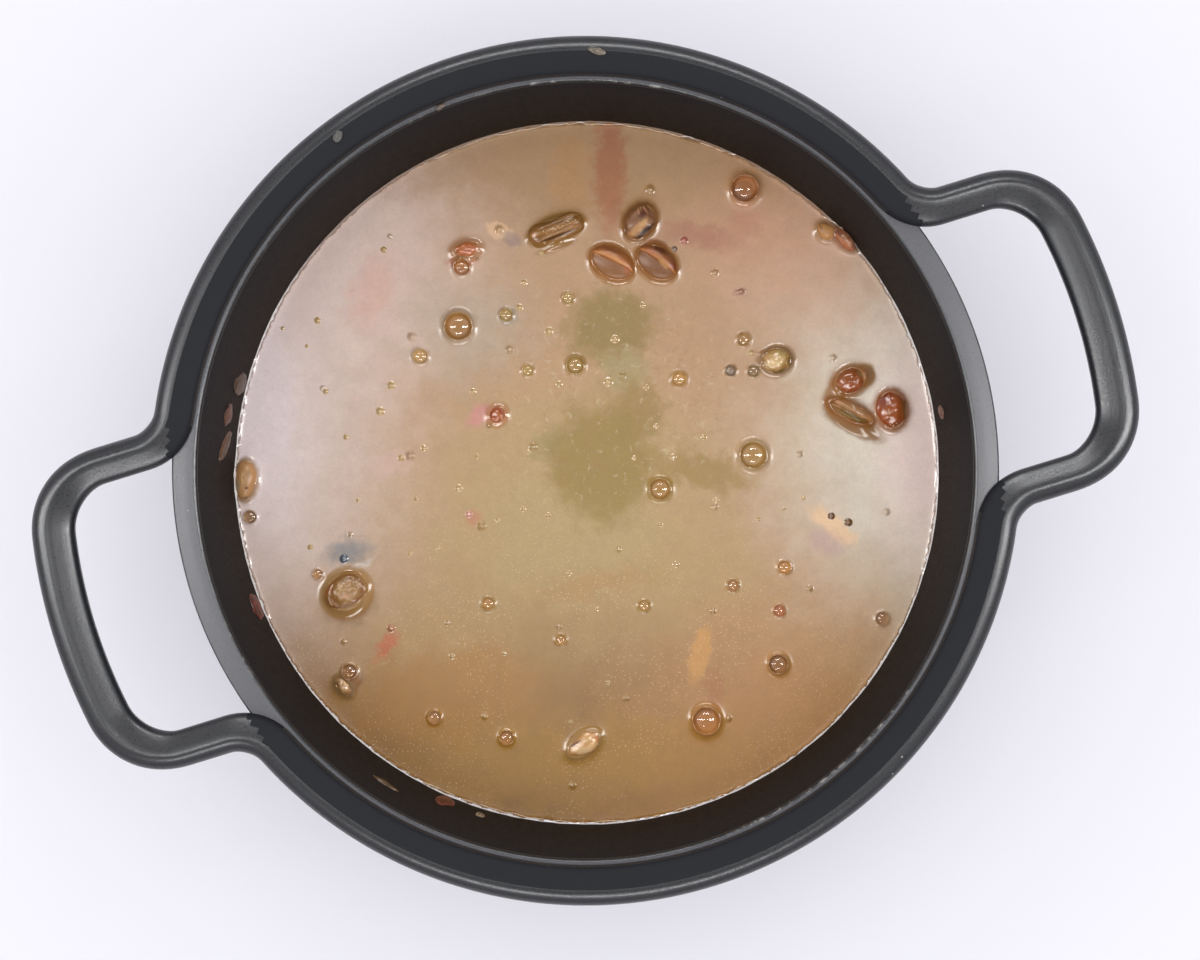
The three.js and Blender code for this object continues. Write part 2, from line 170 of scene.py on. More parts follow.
# Floating pieces: name, form, size, distance and bearing of the middle, turn and lift above the broth.
PIECES = {
    "bean_upper": ("keeled", (15.6, 12.1, 8), (99.5, 60.8), 42.8, 0.2),
    "bean_left": ("split", (18.3, 12.8, 8.5), (81.9, 65.9), -44.2, 0.2),
    "bean_right": ("split", (17.5, 12.8, 8.5), (85.9, 54.4), -52.2, 0.2),
    "bean_at_wall": ("bean", (16, 8.8, 8), (131.3, 164.2), 70, 0.6),
    "seed_at_wall": ("bean", (8.6, 6.8, 6), (129.8, 28.6), -50, 0.4),
    "mushroom_stem": ("stem", (22.4, 9.8, 9.4), (95.3, 80), 2.8, -0.6),
    "mushroom_cap": ("cap", (19.5, 17, 9), (104.7, 189.3), 12.8, -1.2),
    "mushroom_chunk": ("chunk", (12.6, 10.4, 8), (85.5, 13.3), -7.2, 0),
    "mushroom_slice": ("slice", (20, 7.6, 8), (105.2, 355.7), -42.2, 0.2),
    "tomato_lobe": ("chunk", (13.6, 10.8, 8.5), (108.3, 1.9), 12, 0),
    "tomato_round": ("chunk", (16, 12.6, 9), (120.9, 354.3), 76, 0),
    "tomato_shred": ("chunk", (12, 7, 6), (98.6, 101.2), -7.2, -0.4),
    "tomato_at_wall": ("chunk", (10.9, 5.4, 9), (133.4, 24.7), -64, 2.2),
    "tomato_crumb": ("chunk", (7.4, 6.4, 5), (41.3, 130.4), 20, 0.1),
    "chicken_shred": ("chunk", (15.6, 8.8, 7), (105.9, 252.2), 17.8, -0.4),
    "chicken_flake": ("chunk", (9, 6, 5.5), (126, 204.2), -67.2, -0.2),
}


def linear(colour):
    """An sRGB hex colour as linear red, green, blue and alpha."""
    parts = [int(colour[i:i + 2], 16) / 255 for i in (1, 3, 5)]
    return tuple(c / 12.92 if c <= 0.04045 else ((c + 0.055) / 1.055) ** 2.4 for c in parts) + (1.0,)


def shaded(colour, share):
    """A linear colour made darker or lighter."""
    return tuple(c * share for c in colour[:3]) + (1,)


class PotSettings(bpy.types.PropertyGroup):
    """Sizes and colours of the casting."""

    rim_height: FloatProperty(name="Rim height", description="Top of the flat flange above the floor",
                              default=0.122, unit="LENGTH")
    mouth_radius: FloatProperty(name="Mouth radius", description="Inner wall at the flange",
                                default=0.1396, unit="LENGTH")
    wall_thickness: FloatProperty(name="Wall thickness", description="Thickness of the cast wall",
                                  default=0.0042, unit="LENGTH")
    bead_width: FloatProperty(name="Bead width", description="Width of the rim bead",
                              default=0.0145, unit="LENGTH")
    bead_rise: FloatProperty(name="Bead rise", description="Crest of the bead above the flange",
                             default=0.0064, unit="LENGTH")
    coating: FloatVectorProperty(name="Coating", description="Colour of the non-stick coating",
                                 default=linear("#25262a"), size=4, subtype="COLOR", min=0, max=1)
    film: FloatVectorProperty(name="Dried film", description="Colour of the broth dried on the inner wall",
                              default=linear("#2a211b"), size=4, subtype="COLOR", min=0, max=1)


class BrothSettings(bpy.types.PropertyGroup):
    """Level and colours of the broth."""

    level: FloatProperty(name="Level", description="Broth's surface above the floor",
                         default=0.067, unit="LENGTH")
    meniscus: FloatProperty(name="Meniscus", description="Height that the broth climbs up the wall",
                            default=0.0012, unit="LENGTH")
    body: FloatVectorProperty(name="Broth", description="Main colour of the cloudy broth",
                              default=linear("#b88f66"), size=4, subtype="COLOR", min=0, max=1)
    # Painted glints: this colour also stands for the light that the droplets catch.
    grain: FloatVectorProperty(name="Fat speckle", description="Colour of the droplets of fat",
                               default=linear("#e6c496"), size=4, subtype="COLOR", min=0, max=1)


class StageSettings(bpy.types.PropertyGroup):
    """The studio round the pot."""

    camera_height: FloatProperty(name="Camera height", description="Camera above the floor",
                                 default=0.772, unit="LENGTH")
    panel_radiance: FloatProperty(
        name="Panel radiance", description="Brightness of the light panels in reflections",
        default=27.0, min=0)
    fill_radiance: FloatProperty(
        name="Fill radiance", description="Brightness of the soft box overhead", default=1.75, min=0)
    lamp_radiance: FloatProperty(
        name="Lamp radiance", description="Brightness of the two small lamps in reflections",
        default=120.0, min=0)
    floor: FloatVectorProperty(name="Floor", description="Colour of the pale floor",
                               default=linear("#f2f1f8"), size=4, subtype="COLOR", min=0, max=1)


def deselect():
    """Object mode, with nothing selected."""
    if bpy.context.mode != "OBJECT":
        bpy.ops.object.mode_set(mode="OBJECT")
    bpy.ops.object.select_all(action="DESELECT")


def activate(*objects):
    """Selects these objects alone; the last is the active one."""
    deselect()
    for item in objects:
        item.select_set(True)
    bpy.context.view_layer.objects.active = objects[-1]


def read_points(item):
    """The mesh's vertices in millimetres, one row each."""
    flat = np.empty(len(item.data.vertices) * 3)
    item.data.vertices.foreach_get("co", flat)
    return flat.reshape(-1, 3) / MM


def write_points(item, points):
    """Puts the mesh's vertices at these places, given in millimetres."""
    item.data.vertices.foreach_set("co", (np.asarray(points) * MM).ravel())
    item.data.update()


def write_attribute(item, name, values, kind="FLOAT"):
    """Stores one value, or one colour, for each vertex under a name that a material reads."""
    layer = item.data.attributes.new(name, kind, "POINT")
    key = "color" if kind == "FLOAT_COLOR" else "value"
    layer.data.foreach_set(key, np.asarray(values, np.float32).ravel())


def smoothstep(x, low, high):
    """0 below low, 1 above high and an even turn between them."""
    t = np.clip((x - low) / (high - low), 0, 1)
    return t * t * (3 - 2 * t)


def ripple(points, pitch, seed=0.0):
    """Smooth unevenness from -1 to 1 whose bumps are about pitch apart."""
    shift = Vector((seed * 7.31, seed * 3.77, seed * 5.13))
    return np.array([noise.noise(Vector(p) / pitch + shift) for p in points])


def polar(radius, bearing):
    """Part-frame x and y of a place given by distance and bearing."""
    return radius * math.cos(math.radians(bearing)), radius * math.sin(math.radians(bearing))


def finish_piece(item, name, material, slot, *replaced):
    """Names a piece, gives it its material and hangs it on the part."""
    item.name = name
    item.data.name = name
    item.data.materials.clear()
    item.data.materials.append(material)
    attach(item, "root")
    if replaced:
        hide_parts(*replaced)


def add_node(tree, kind, inputs=None, stops=None, **settings):
    """Adds a shader node, sets its options and sockets, and links what comes from another node."""
    made = tree.nodes.new("ShaderNode" + kind)
    for name, value in settings.items():
        setattr(made, name, value)
    for socket, value in (inputs or {}).items():
        if isinstance(value, bpy.types.NodeSocket):
            tree.links.new(value, made.inputs[socket])
        else:
            made.inputs[socket].default_value = value
    for i, (place, colour) in enumerate(stops or ()):
        mark = made.color_ramp.elements[i] if i < 2 else made.color_ramp.elements.new(place)
        mark.position = place
        mark.color = colour
    return made


def new_material(name, **sockets):
    """A material with one shader, whose sockets take these constant values."""
    material = bpy.data.materials.new(name)
    material.use_nodes = True
    shader = material.node_tree.nodes["Principled BSDF"]
    for socket, value in sockets.items():
        shader.inputs[socket.replace("_", " ")].default_value = value
    return material, material.node_tree, shader


# ---- Geometry of the casting -------------------------------------------------------------------

def arc(centre, radius, start, end, steps):
    """Points along an arc, ends included."""
    angles = np.linspace(start, end, steps + 1)
    return [(centre[0] + radius * math.cos(a), centre[1] + radius * math.sin(a)) for a in angles]


def bend(start, control, end, steps):
    """Points along a curve pulled towards one control point, without its first."""
    made = []
    for t in np.linspace(0, 1, steps + 1)[1:]:
        made.append(tuple(
            (1 - t) ** 2 * a + 2 * t * (1 - t) * b + t * t * c for a, b, c in zip(start, control, end)))
    return made


def draw_line(points):
    """An open line of edges through the points, in millimetres, extruded from one vertex."""
    deselect()
    bpy.ops.mesh.primitive_plane_add(size=MM, location=(0, 0, 0))
    bpy.ops.object.mode_set(mode="EDIT")
    bpy.ops.mesh.merge(type="CENTER")
    bpy.ops.transform.translate(value=Vector(points[0]) * MM)
    for before, after in zip(points, points[1:]):
        bpy.ops.mesh.extrude_vertices_move(
            TRANSFORM_OT_translate={"value": (Vector(after) - Vector(before)) * MM})
    return bpy.context.object


def close_up(threshold=1e-6):
    """Merges doubled vertices and turns all faces outwards."""
    bpy.ops.mesh.select_all(action="SELECT")
    bpy.ops.mesh.remove_doubles(threshold=threshold)
    bpy.ops.mesh.normals_make_consistent(inside=False)
    bpy.ops.object.mode_set(mode="OBJECT")


def turn_profile(profile, steps):
    """A body of revolution about the upright through the origin, from radius and height points."""
    item = draw_line([(r, 0, z) for r, z in profile])
    bpy.ops.mesh.select_all(action="SELECT")
    bpy.ops.mesh.spin(steps=steps, dupli=False, angle=math.tau, use_auto_merge=True,
                      center=(0, 0, 0), axis=(0, 0, 1))
    close_up()
    return item


def inner_radius(pot, height):
    """Radius of the tapered inner wall at a height, in millimetres."""
    return pot.mouth_radius / MM - (pot.rim_height / MM - height) * math.tan(WALL_TAPER)


def corner_centre(pot, offset, floor, radius):
    """Middle of the arc that rounds the tapered wall into a level floor."""
    height = floor + radius
    return inner_radius(pot, height) + offset - radius / math.cos(WALL_TAPER), height


def pot_profile(pot):
    """Outline of base, wall, flange and mouth."""
    rim = pot.rim_height / MM
    mouth = pot.mouth_radius / MM
    thick = pot.wall_thickness / MM
    outer = corner_centre(pot, thick, 0, OUTER_CORNER)
    inner = corner_centre(pot, 0, FLOOR_THICKNESS, INNER_CORNER)
    under = rim - FLANGE_DEPTH
    wall_top = inner_radius(pot, under - FLANGE_FILLET) + thick
    low = arc(outer, OUTER_CORNER, -math.pi / 2, -WALL_TAPER, 12)
    wall = [tuple(np.add(np.multiply(low[-1], 1 - t), np.multiply((wall_top, under - FLANGE_FILLET), t)))
            for t in (0.25, 0.5, 0.75, 1)]
    lip = bend(wall[-1], (wall_top, under), (FLANGE_RADIUS, under), 6)
    edge = [(FLANGE_RADIUS, rim - FLANGE_CHAMFER), (FLANGE_RADIUS - FLANGE_CHAMFER, rim),
            (FLANGE_STEP, rim), (mouth + MOUTH_ROUND, rim)]
    mouth_arc = arc((mouth + MOUTH_ROUND, rim - MOUTH_ROUND), MOUTH_ROUND, math.pi / 2, math.pi, 6)[1:]
    inside = [(inner_radius(pot, h), h) for h in WALL_RINGS]
    floor = arc(inner, INNER_CORNER, -WALL_TAPER, -math.pi / 2, 8)
    base = [(0, 0), (FLOOR_RING, 0)]
    floor += [(FLOOR_RING, FLOOR_THICKNESS), (0, FLOOR_THICKNESS)]
    return base + low + wall + lip + edge + mouth_arc + inside + floor


def bead_section(pot):
    """The bar's section: outwards from its line, and up from the flange's top."""
    half = pot.bead_width / MM / 2
    rise = pot.bead_rise / MM
    start = (-half, 0.4)
    points = [start]
    points += bend(points[-1], (-half, 3), (-0.72 * half, 3.7), 4)
    points += bend(points[-1], (-0.3 * half, 4.85), (0.1 * half, 0.91 * rise), 3)
    points += bend(points[-1], (0.5 * half, 0.99 * rise), (0.78 * half, 0.64 * rise), 5)
    points += bend(points[-1], (half, 0.36 * rise), (half, -0.4), 4)
    points += bend(points[-1], (half, -BEAD_DROP), (0.4 * half, -BEAD_DROP), 4)
    points += bend(points[-1], (0, -BEAD_DROP), (-0.5 * half, -BEAD_DROP), 2)
    points += bend(points[-1], (-half, -BEAD_DROP), start, 4)[:-1]
    return points


def bead_arcs():
    """The line's flare and corner: their middles and bearings, for the arm on the +Y side of +X."""
    flare_y = ARM_OFFSET + FLARE_RADIUS
    flare_x = math.sqrt((BEAD_RADIUS + FLARE_RADIUS) ** 2 - flare_y ** 2)
    corner_y = ARM_OFFSET - CORNER_RADIUS
    corner_x = math.sqrt((GRIP_RADIUS - CORNER_RADIUS) ** 2 - corner_y ** 2)
    return ((flare_x, flare_y, math.atan2(flare_y, flare_x)),
            (corner_x, corner_y, math.atan2(corner_y, corner_x)))


def width_share(distance):
    """The bar's width at a distance from the pot's middle, as a share of its width round the mouth."""
    arm = smoothstep(distance, BEAD_RADIUS + 2, BEAD_RADIUS + 12)
    grip = smoothstep(distance, GRIP_RADIUS - 17, GRIP_RADIUS)
    narrowed = 1 + (ARM_NARROWING - 1) * arm
    return narrowed + (GRIP_WIDENING - narrowed) * grip


def bead_and_handles(pot):
    """The bar that runs round the rim and loops out as the two handles, spun and extruded as one."""
    (flare_x, flare_y, flare), (corner_x, corner_y, corner) = bead_arcs()
    outward = Vector((math.cos(flare), -math.sin(flare), 0))
    foot = outward * BEAD_RADIUS + Vector((0, 0, pot.rim_height / MM))
    ring = [foot + outward * u + Vector((0, 0, v)) for u, v in bead_section(pot)]
    item = draw_line(ring)
    bpy.ops.mesh.select_all(action="SELECT")
    bpy.ops.mesh.edge_face_add()
    bpy.ops.mesh.delete(type="ONLY_FACE")
    bpy.ops.mesh.select_all(action="SELECT")
    quarter = math.pi / 2
    reach = corner_x - flare_x
    moves = [
        (flare_x, -flare_y, flare - quarter, 14),
        (reach, 6),
        (corner_x, -corner_y, quarter - corner, 18),
        (0, 0, 2 * corner, 26),
        (corner_x, corner_y, quarter - corner, 18),
        (-reach, 6),
        (flare_x, flare_y, flare - quarter, 14),
        (0, 0, math.pi - 2 * flare, 110),
    ]
    for move in moves:
        if len(move) == 2:
            for _ in range(move[1]):
                bpy.ops.mesh.extrude_edges_move(
                    TRANSFORM_OT_translate={"value": (move[0] * MM / move[1], 0, 0)})
        else:
            x, y, angle, steps = move
            bpy.ops.mesh.spin(steps=steps, dupli=False, angle=-angle,
                              center=(x * MM, y * MM, 0), axis=(0, 0, 1))
    bpy.ops.mesh.select_all(action="SELECT")
    bpy.ops.mesh.duplicate()
    bpy.ops.transform.rotate(value=math.pi, orient_axis="Z", center_override=(0, 0, 0))
    close_up(threshold=2e-5)
    narrow_arms(item)
    return item


def narrow_arms(item):
    """Draws each vertex towards the bar's line, so that the arms are slimmer and the grips wider."""
    (flare_x, flare_y, flare), (corner_x, corner_y, corner) = bead_arcs()
    quarter = math.pi / 2
    line = arc((flare_x, -flare_y), FLARE_RADIUS, math.pi - flare, quarter, 60)
    line += [(x, -ARM_OFFSET) for x in np.linspace(flare_x, corner_x, 20)]
    line += arc((corner_x, -corner_y), CORNER_RADIUS, -quarter, -corner, 80)
    line += arc((0, 0), GRIP_RADIUS, -corner, 0, 60)
    line = np.array(line)
    points = read_points(item)
    folded = np.stack([np.abs(points[:, 0]), -np.abs(points[:, 1])], 1)
    at_handle = folded[:, 1] > -(flare_y + 4)
    far = np.linalg.norm(folded[at_handle][:, None] - line[None], axis=2)
    nearest = line[far.argmin(1)]
    share = width_share(np.linalg.norm(nearest, axis=1))[:, None]
    moved = nearest + (folded[at_handle] - nearest) * share
    signs = np.stack([np.sign(points[at_handle, 0]), -np.sign(points[at_handle, 1])], 1)
    points[at_handle, :2] = moved * signs
    write_points(item, points)


def coating_material(pot):
    """Cast aluminium with a matte non-stick coating, whose fine sprayed grain breaks up the gloss."""
    material, tree, shader = new_material("nonstick_cast_aluminium", IOR=1.5, Specular_IOR_Level=0.35)
    place = add_node(tree, "TexCoord").outputs["Object"]
    parts = add_node(tree, "SeparateXYZ", {0: place})
    level = add_node(tree, "CombineXYZ", {0: parts.outputs[0], 1: parts.outputs[1], 2: 0.0})
    radius = add_node(tree, "VectorMath", {0: level.outputs[0]}, operation="LENGTH").outputs["Value"]
    height = parts.outputs[2]
    # Sprayed grain, 0.7 mm apart, and slower cloudiness, 9 mm.
    grain = add_node(tree, "TexNoise", {"Vector": place, "Scale": 1400.0, "Detail": 2.0}).outputs[0]
    cloud = add_node(tree, "TexNoise", {"Vector": place, "Scale": 110.0, "Detail": 4.0}).outputs[0]
    tone = add_node(tree, "ValToRGB", {0: cloud}, stops=[
        (0.3, shaded(pot.coating, 0.85)), (0.7, shaded(pot.coating, 1.15))])
    # Painted sheen: the flat top of the flange is painted a lighter tone, where it mirrors the light panels.
    flat = add_node(tree, "MapRange", {"Value": height, "From Min": 0.12188, "From Max": 0.12199}).outputs[0]
    short = add_node(tree, "MapRange", {"Value": height, "From Min": 0.12212, "From Max": 0.12201}).outputs[0]
    level_band = add_node(tree, "Math", {0: flat, 1: short}, operation="MULTIPLY").outputs[0]
    within = add_node(tree, "MapRange", {"Value": radius, "From Min": 0.1492, "From Max": 0.1490}).outputs[0]
    flange = add_node(tree, "Math", {0: level_band, 1: within}, operation="MULTIPLY").outputs[0]
    flange_sheen = add_node(tree, "Mix", {0: flange, 6: tone.outputs[0], 7: linear("#57575c")}, data_type="RGBA")
    # Dried starch: a thin broken line round the mouth's edge and stray specks.
    edge_in = add_node(tree, "MapRange", {"Value": radius, "From Min": 0.1397, "From Max": 0.1400}).outputs[0]
    edge_out = add_node(tree, "MapRange", {"Value": radius,
                                           "From Min": 0.1409, "From Max": 0.1405}).outputs[0]
    edge = add_node(tree, "Math", {0: edge_in, 1: edge_out}, operation="MULTIPLY").outputs[0]
    broken = add_node(tree, "TexNoise", {"Vector": place, "Scale": 190.0, "Detail": 6.0,
                                         "Roughness": 0.75}).outputs[0]
    broken = add_node(tree, "MapRange", {"Value": broken, "From Min": 0.5, "From Max": 0.66}).outputs[0]
    starch = add_node(tree, "Math", {0: edge, 1: broken}, operation="MULTIPLY").outputs[0]
    side = add_node(tree, "TexNoise", {"Vector": place, "Scale": 9.0, "Detail": 1.0}).outputs[0]
    side = add_node(tree, "MapRange", {"Value": side, "From Min": 0.5, "From Max": 0.58,
                                       "To Max": 0.8}).outputs[0]
    starch = add_node(tree, "Math", {0: starch, 1: side}, operation="MULTIPLY").outputs[0]
    top = add_node(tree, "Math", {0: height, 1: 0.12}, operation="GREATER_THAN").outputs[0]
    starch = add_node(tree, "Math", {0: starch, 1: top}, operation="MULTIPLY").outputs[0]
    pale = add_node(tree, "Mix", {0: starch, 6: flange_sheen.outputs[2], 7: linear("#a6a29c")}, data_type="RGBA")
    cells = add_node(tree, "TexVoronoi", {"Vector": place, "Scale": 150.0, "Randomness": 1.0})
    speck = add_node(tree, "MapRange", {"Value": cells.outputs["Distance"],
                                        "From Min": 0.07, "From Max": 0.04}).outputs[0]
    rare = add_node(tree, "TexNoise", {"Vector": place, "Scale": 60.0, "Detail": 2.0}).outputs[0]
    rare = add_node(tree, "MapRange", {"Value": rare, "From Min": 0.56, "From Max": 0.64}).outputs[0]
    speck = add_node(tree, "Math", {0: speck, 1: rare}, operation="MULTIPLY").outputs[0]
    speck = add_node(tree, "Math", {0: speck, 1: top}, operation="MULTIPLY").outputs[0]
    colour = add_node(tree, "Mix", {0: speck, 6: pale.outputs[2], 7: linear("#9a9a98")}, data_type="RGBA")
    tree.links.new(colour.outputs[2], shader.inputs["Base Color"])
    rough = add_node(tree, "MapRange", {"Value": grain, "From Min": 0.3, "From Max": 0.7,
                                        "To Min": 0.26, "To Max": 0.36}).outputs[0]
    tree.links.new(rough, shader.inputs["Roughness"])
    bump = add_node(tree, "Bump", {"Strength": 0.16, "Distance": 0.0002, "Height": grain})
    tree.links.new(bump.outputs[0], shader.inputs["Normal"])
    return material


def filmed_material(pot):
    """The inner wall's coating under a dull brown film, which broth left as it dried.

    Streaks run down it, and it is darkest just above the broth."""
    material, tree, shader = new_material("filmed_inner_wall", IOR=1.5, Specular_IOR_Level=0.05)
    place = add_node(tree, "TexCoord").outputs["Object"]
    parts = add_node(tree, "SeparateXYZ", {0: place})
    height = parts.outputs[2]
    # Streaks: short round the pot, long up it.
    bearing = add_node(tree, "Math", {0: parts.outputs[1], 1: parts.outputs[0]},
                       operation="ARCTAN2").outputs[0]
    around = add_node(tree, "CombineXYZ", {0: bearing, 1: 0.0, 2: height})
    stretched = add_node(tree, "VectorMath", {0: around.outputs[0], 1: (28.0, 1.0, 60.0)},
                         operation="MULTIPLY")
    streak = add_node(tree, "TexNoise", {"Vector": stretched.outputs[0], "Scale": 1.6, "Detail": 5.0,
                                         "Roughness": 0.6}).outputs[0]
    film = add_node(tree, "ValToRGB", {0: streak}, stops=[
        (0.3, shaded(pot.film, 0.6)), (0.75, shaded(pot.film, 1.3))])
    rise = add_node(tree, "MapRange", {"Value": height, "From Min": 0.068, "From Max": 0.12}).outputs[0]
    colour = add_node(tree, "Mix", {0: rise, 6: film.outputs[0], 7: pot.coating}, data_type="RGBA")
    tree.links.new(colour.outputs[2], shader.inputs["Base Color"])
    crust = add_node(tree, "TexNoise", {"Vector": place, "Scale": 700.0, "Detail": 4.0}).outputs[0]
    rough = add_node(tree, "MapRange", {"Value": crust, "To Min": 0.5, "To Max": 0.7}).outputs[0]
    tree.links.new(rough, shader.inputs["Roughness"])
    bump = add_node(tree, "Bump", {"Strength": 0.3, "Distance": 0.0003, "Height": crust})
    tree.links.new(bump.outputs[0], shader.inputs["Normal"])
    return material


class POT_OT_casting(bpy.types.Operator):
    """Turns the pot's body, sweeps its bead and handles, and joins them as one casting"""

    bl_idname = "pot.casting"
    bl_label = "Casting"

    def execute(self, context):
        pot = context.scene.rice_pot
        bar = bead_and_handles(pot)
        body = turn_profile(pot_profile(pot), TURN_STEPS)
        activate(body)
        bpy.ops.object.modifier_add(type="BOOLEAN")
        join = body.modifiers[-1]
        join.operation = "UNION"
        join.solver = "EXACT"
        join.object = bar
        bpy.ops.object.modifier_apply(modifier=join.name)
        bpy.data.objects.remove(bar)
        bpy.ops.object.shade_smooth_by_angle(angle=SMOOTH_ANGLE)
        finish_piece(body, "pot_casting", coating_material(pot), "pot_coating", "pot")
        body.data.materials.append(filmed_material(pot))
        rim, mouth = pot.rim_height / MM, pot.mouth_radius / MM
        for face in body.data.polygons:
            middle, normal = face.center / MM, face.normal
            out = math.hypot(middle.x, middle.y)
            inward = normal.x * middle.x + normal.y * middle.y < 0 or normal.z > 0.5
            wall = inward and out < mouth - FILM_MARGIN and FILM_FOOT < middle.z < rim - FILM_TOP_GAP
            slope = mouth + SLOPE_START < out < BEAD_RADIUS + SLOPE_END and middle.z > rim + SLOPE_LIFT
            face.material_index = int((wall or slope) and normal.z > -0.5)
        return {"FINISHED"}


# ---- Broth ----------------------------------------------------------------------------------------

def large_bubbles():
    """The bubbles that stand out, as place, radius and colour."""
    return [(polar(r, b), d / 2, tint) for r, b, d, tint in BUBBLES]


def small_bubbles():
    """The small bubbles spread over the broth, as x, y and radius, where nothing else floats."""
    taken = [(polar(*place), size[0] / 2) for _, size, place, _, _ in PIECES.values()]
    taken += [(place, radius) for place, radius, _ in large_bubbles()]
    found = []
    for i in range(1, SMALL_BUBBLES + 1):
        radius = SMALL_REACH * math.sqrt(i / SMALL_BUBBLES)
        place = polar(radius, math.degrees(i * GOLDEN_ANGLE))
        reach = SMALL_DIAMETERS[i % len(SMALL_DIAMETERS)] / 2
        if all(math.dist(place, p) > reach + r + CLEARANCE for p, r in taken + found):
            found.append((place, reach))
    return found


def along_across(dx, dy, turn):
    """Offsets measured along and across an axis that is turned by this many degrees."""
    cos, sin = math.cos(math.radians(turn)), math.sin(math.radians(turn))
    return dx * cos + dy * sin, dy * cos - dx * sin


def piece_middle(name):
    """The part's x and y of a floating piece, with its lean to the wall."""
    x, y = polar(*PIECES[name][2])
    dx, dy = SHIFTS.get(name, (0, 0))
    return x + dx, y + dy


def disc_share(points, place, radius):
    """How far points lie out in a disc: 1 at its edge."""
    return np.hypot(points[:, 0] - place[0], points[:, 1] - place[1]) / radius


def outline_distance(points, name):
    """How far points lie outside a piece's oval outline; negative inside it."""
    _, size, _, turn, _ = PIECES[name]
    x, y = piece_middle(name)
    along, across = along_across(points[:, 0] - x, points[:, 1] - y, turn)
    away = np.hypot(along, across)
    share = np.hypot(along / (size[0] / 2), across / (size[1] / 2))
    return away * (1 - 1 / np.maximum(share, 1e-3))


def oval_share(points, x, y, length, width, turn):
    """How far points lie out in an oval placed along the view's axes: 1 at its edge."""
    dx, dy = view_offsets(points, (0, 0))
    along, across = along_across(dx - x, dy - y, turn)
    return np.hypot(along / (length / 2), across / (width / 2))


def film_climb(name):
    """How high the film climbs a piece, in millimetres, and how far inside its outline it gets there."""
    _, size, _, _, lift = PIECES[name]
    rise = FILM_CLIMB * (size[2] / 2 + lift)
    slope = min(abs(rise - lift) / (size[2] / 2), 0.9)
    return rise, size[1] / 2 * (1 - math.sqrt(1 - slope ** 2))


def broth_heights(points, broth, edge):
    """Height of the surface above its level: it climbs the wall, each piece and each bubble's ring."""
    radius = np.hypot(points[:, 0], points[:, 1])
    bearing = np.arctan2(points[:, 1], points[:, 0])
    ring = np.stack([np.cos(bearing) * 40, np.sin(bearing) * 40, np.zeros(len(points))], 1)
    uneven = ripple(ring, 2.6, 3) + 0.6 * ripple(ring, 0.9, 4)
    height = broth.meniscus / MM * (1 + 0.6 * uneven) * np.exp(-(edge - radius) / MENISCUS_REACH)
    height += 0.05 * ripple(points, 22, 5) + 0.02 * ripple(points, 8, 6)
    climb = np.zeros(len(points))
    for name in PIECES:
        rise, inset = film_climb(name)
        away = outline_distance(points, name) + inset
        climb += rise ** 2 * np.exp(-2 * np.clip(away, 0, None) / FILM_REACH) * smoothstep(away, -2.0, -0.9)
    height += np.sqrt(climb)
    for place, reach, _ in large_bubbles():
        share = disc_share(points, place, reach)
        height += reach * np.where(share > 1, RING_RISE * np.exp(-(share - 1) / RING_FADE),
                                   RING_RISE * smoothstep(share, 0.6, 1.0))
    for *oval, rise, _, _ in MOUNDS:
        height += rise * np.clip(1 - oval_share(points, *oval) ** 2, 0, 1) ** 2
    for place, reach in small_bubbles():
        share = disc_share(points, place, reach)
        height += 0.5 * reach * np.clip(1 - share ** 2, 0, 1) ** 2
    return height


def broth_stains(points):
    """Colour, times its strength, and strength of what tints the broth: films, the insides of bubbles and a
    painted shade on each bubble's rim.
    """
    colour = np.zeros((len(points), 3))
    strength = np.zeros(len(points))

    def lay(share, tint):
        """Lays one colour over what is there, by its share at each point."""
        nonlocal colour, strength
        colour = colour * (1 - share)[:, None] + np.outer(share, linear(tint)[:3])
        strength = strength * (1 - share) + share

    wander = ripple(points, 2.0, 8)
    for *oval, _, tint, share in MOUNDS:
        lay(share * smoothstep(1.25 - oval_share(points, *oval) + 0.1 * wander, 0, 0.5), tint)
    for name in PIECES:
        away = outline_distance(points, name) + 0.4 * wander
        halo, reach = HALOS[name]
        lay(0.45 * smoothstep(-away, -2.2 - reach, -0.4), halo)
        lay(0.85 * smoothstep(-away, -1.2 - 0.5 * reach, 0.4), halo)
    for place, reach, tint in large_bubbles():
        share = disc_share(points, place, reach)
        lay(0.9 * smoothstep(1.18 - share, 0, 0.3), tint)
        # Painted shade: each bubble's rim is painted deeper than its middle.
        painted_rim_shade = "#%02x%02x%02x" % tuple(int(int(tint[i:i + 2], 16) * RIM_SHADE) for i in (1, 3, 5))
        lay(0.3 * smoothstep(share, 0.72, 0.95) * smoothstep(1.12 - share, 0, 0.14), painted_rim_shade)
    for place, reach in small_bubbles():
        share = disc_share(points, place, reach)
        lay(0.4 * smoothstep(1.2 - share, 0, 0.5), "#a58658")
    return np.column_stack([colour, strength])


def broth_wetness(points):
    """Where the surface is taut and glossy: round the pieces, on the mounds and round the bubbles."""
    wet = np.zeros(len(points))
    for name in PIECES:
        wet = np.maximum(wet, smoothstep(-outline_distance(points, name), -3.4, -0.6))
    for *oval, _, _, _ in MOUNDS:
        wet = np.maximum(wet, 0.8 * smoothstep(1.2 - oval_share(points, *oval), 0, 0.5))
    for place, reach, _ in large_bubbles():
        share = disc_share(points, place, reach)
        wet = np.maximum(wet, smoothstep(share, 0.75, 1.0) * smoothstep(1.7 - share, 0, 0.6))
    for place, reach in small_bubbles():
        share = disc_share(points, place, reach)
        wet = np.maximum(wet, smoothstep(1.3 - share, 0, 0.3))
    return wet


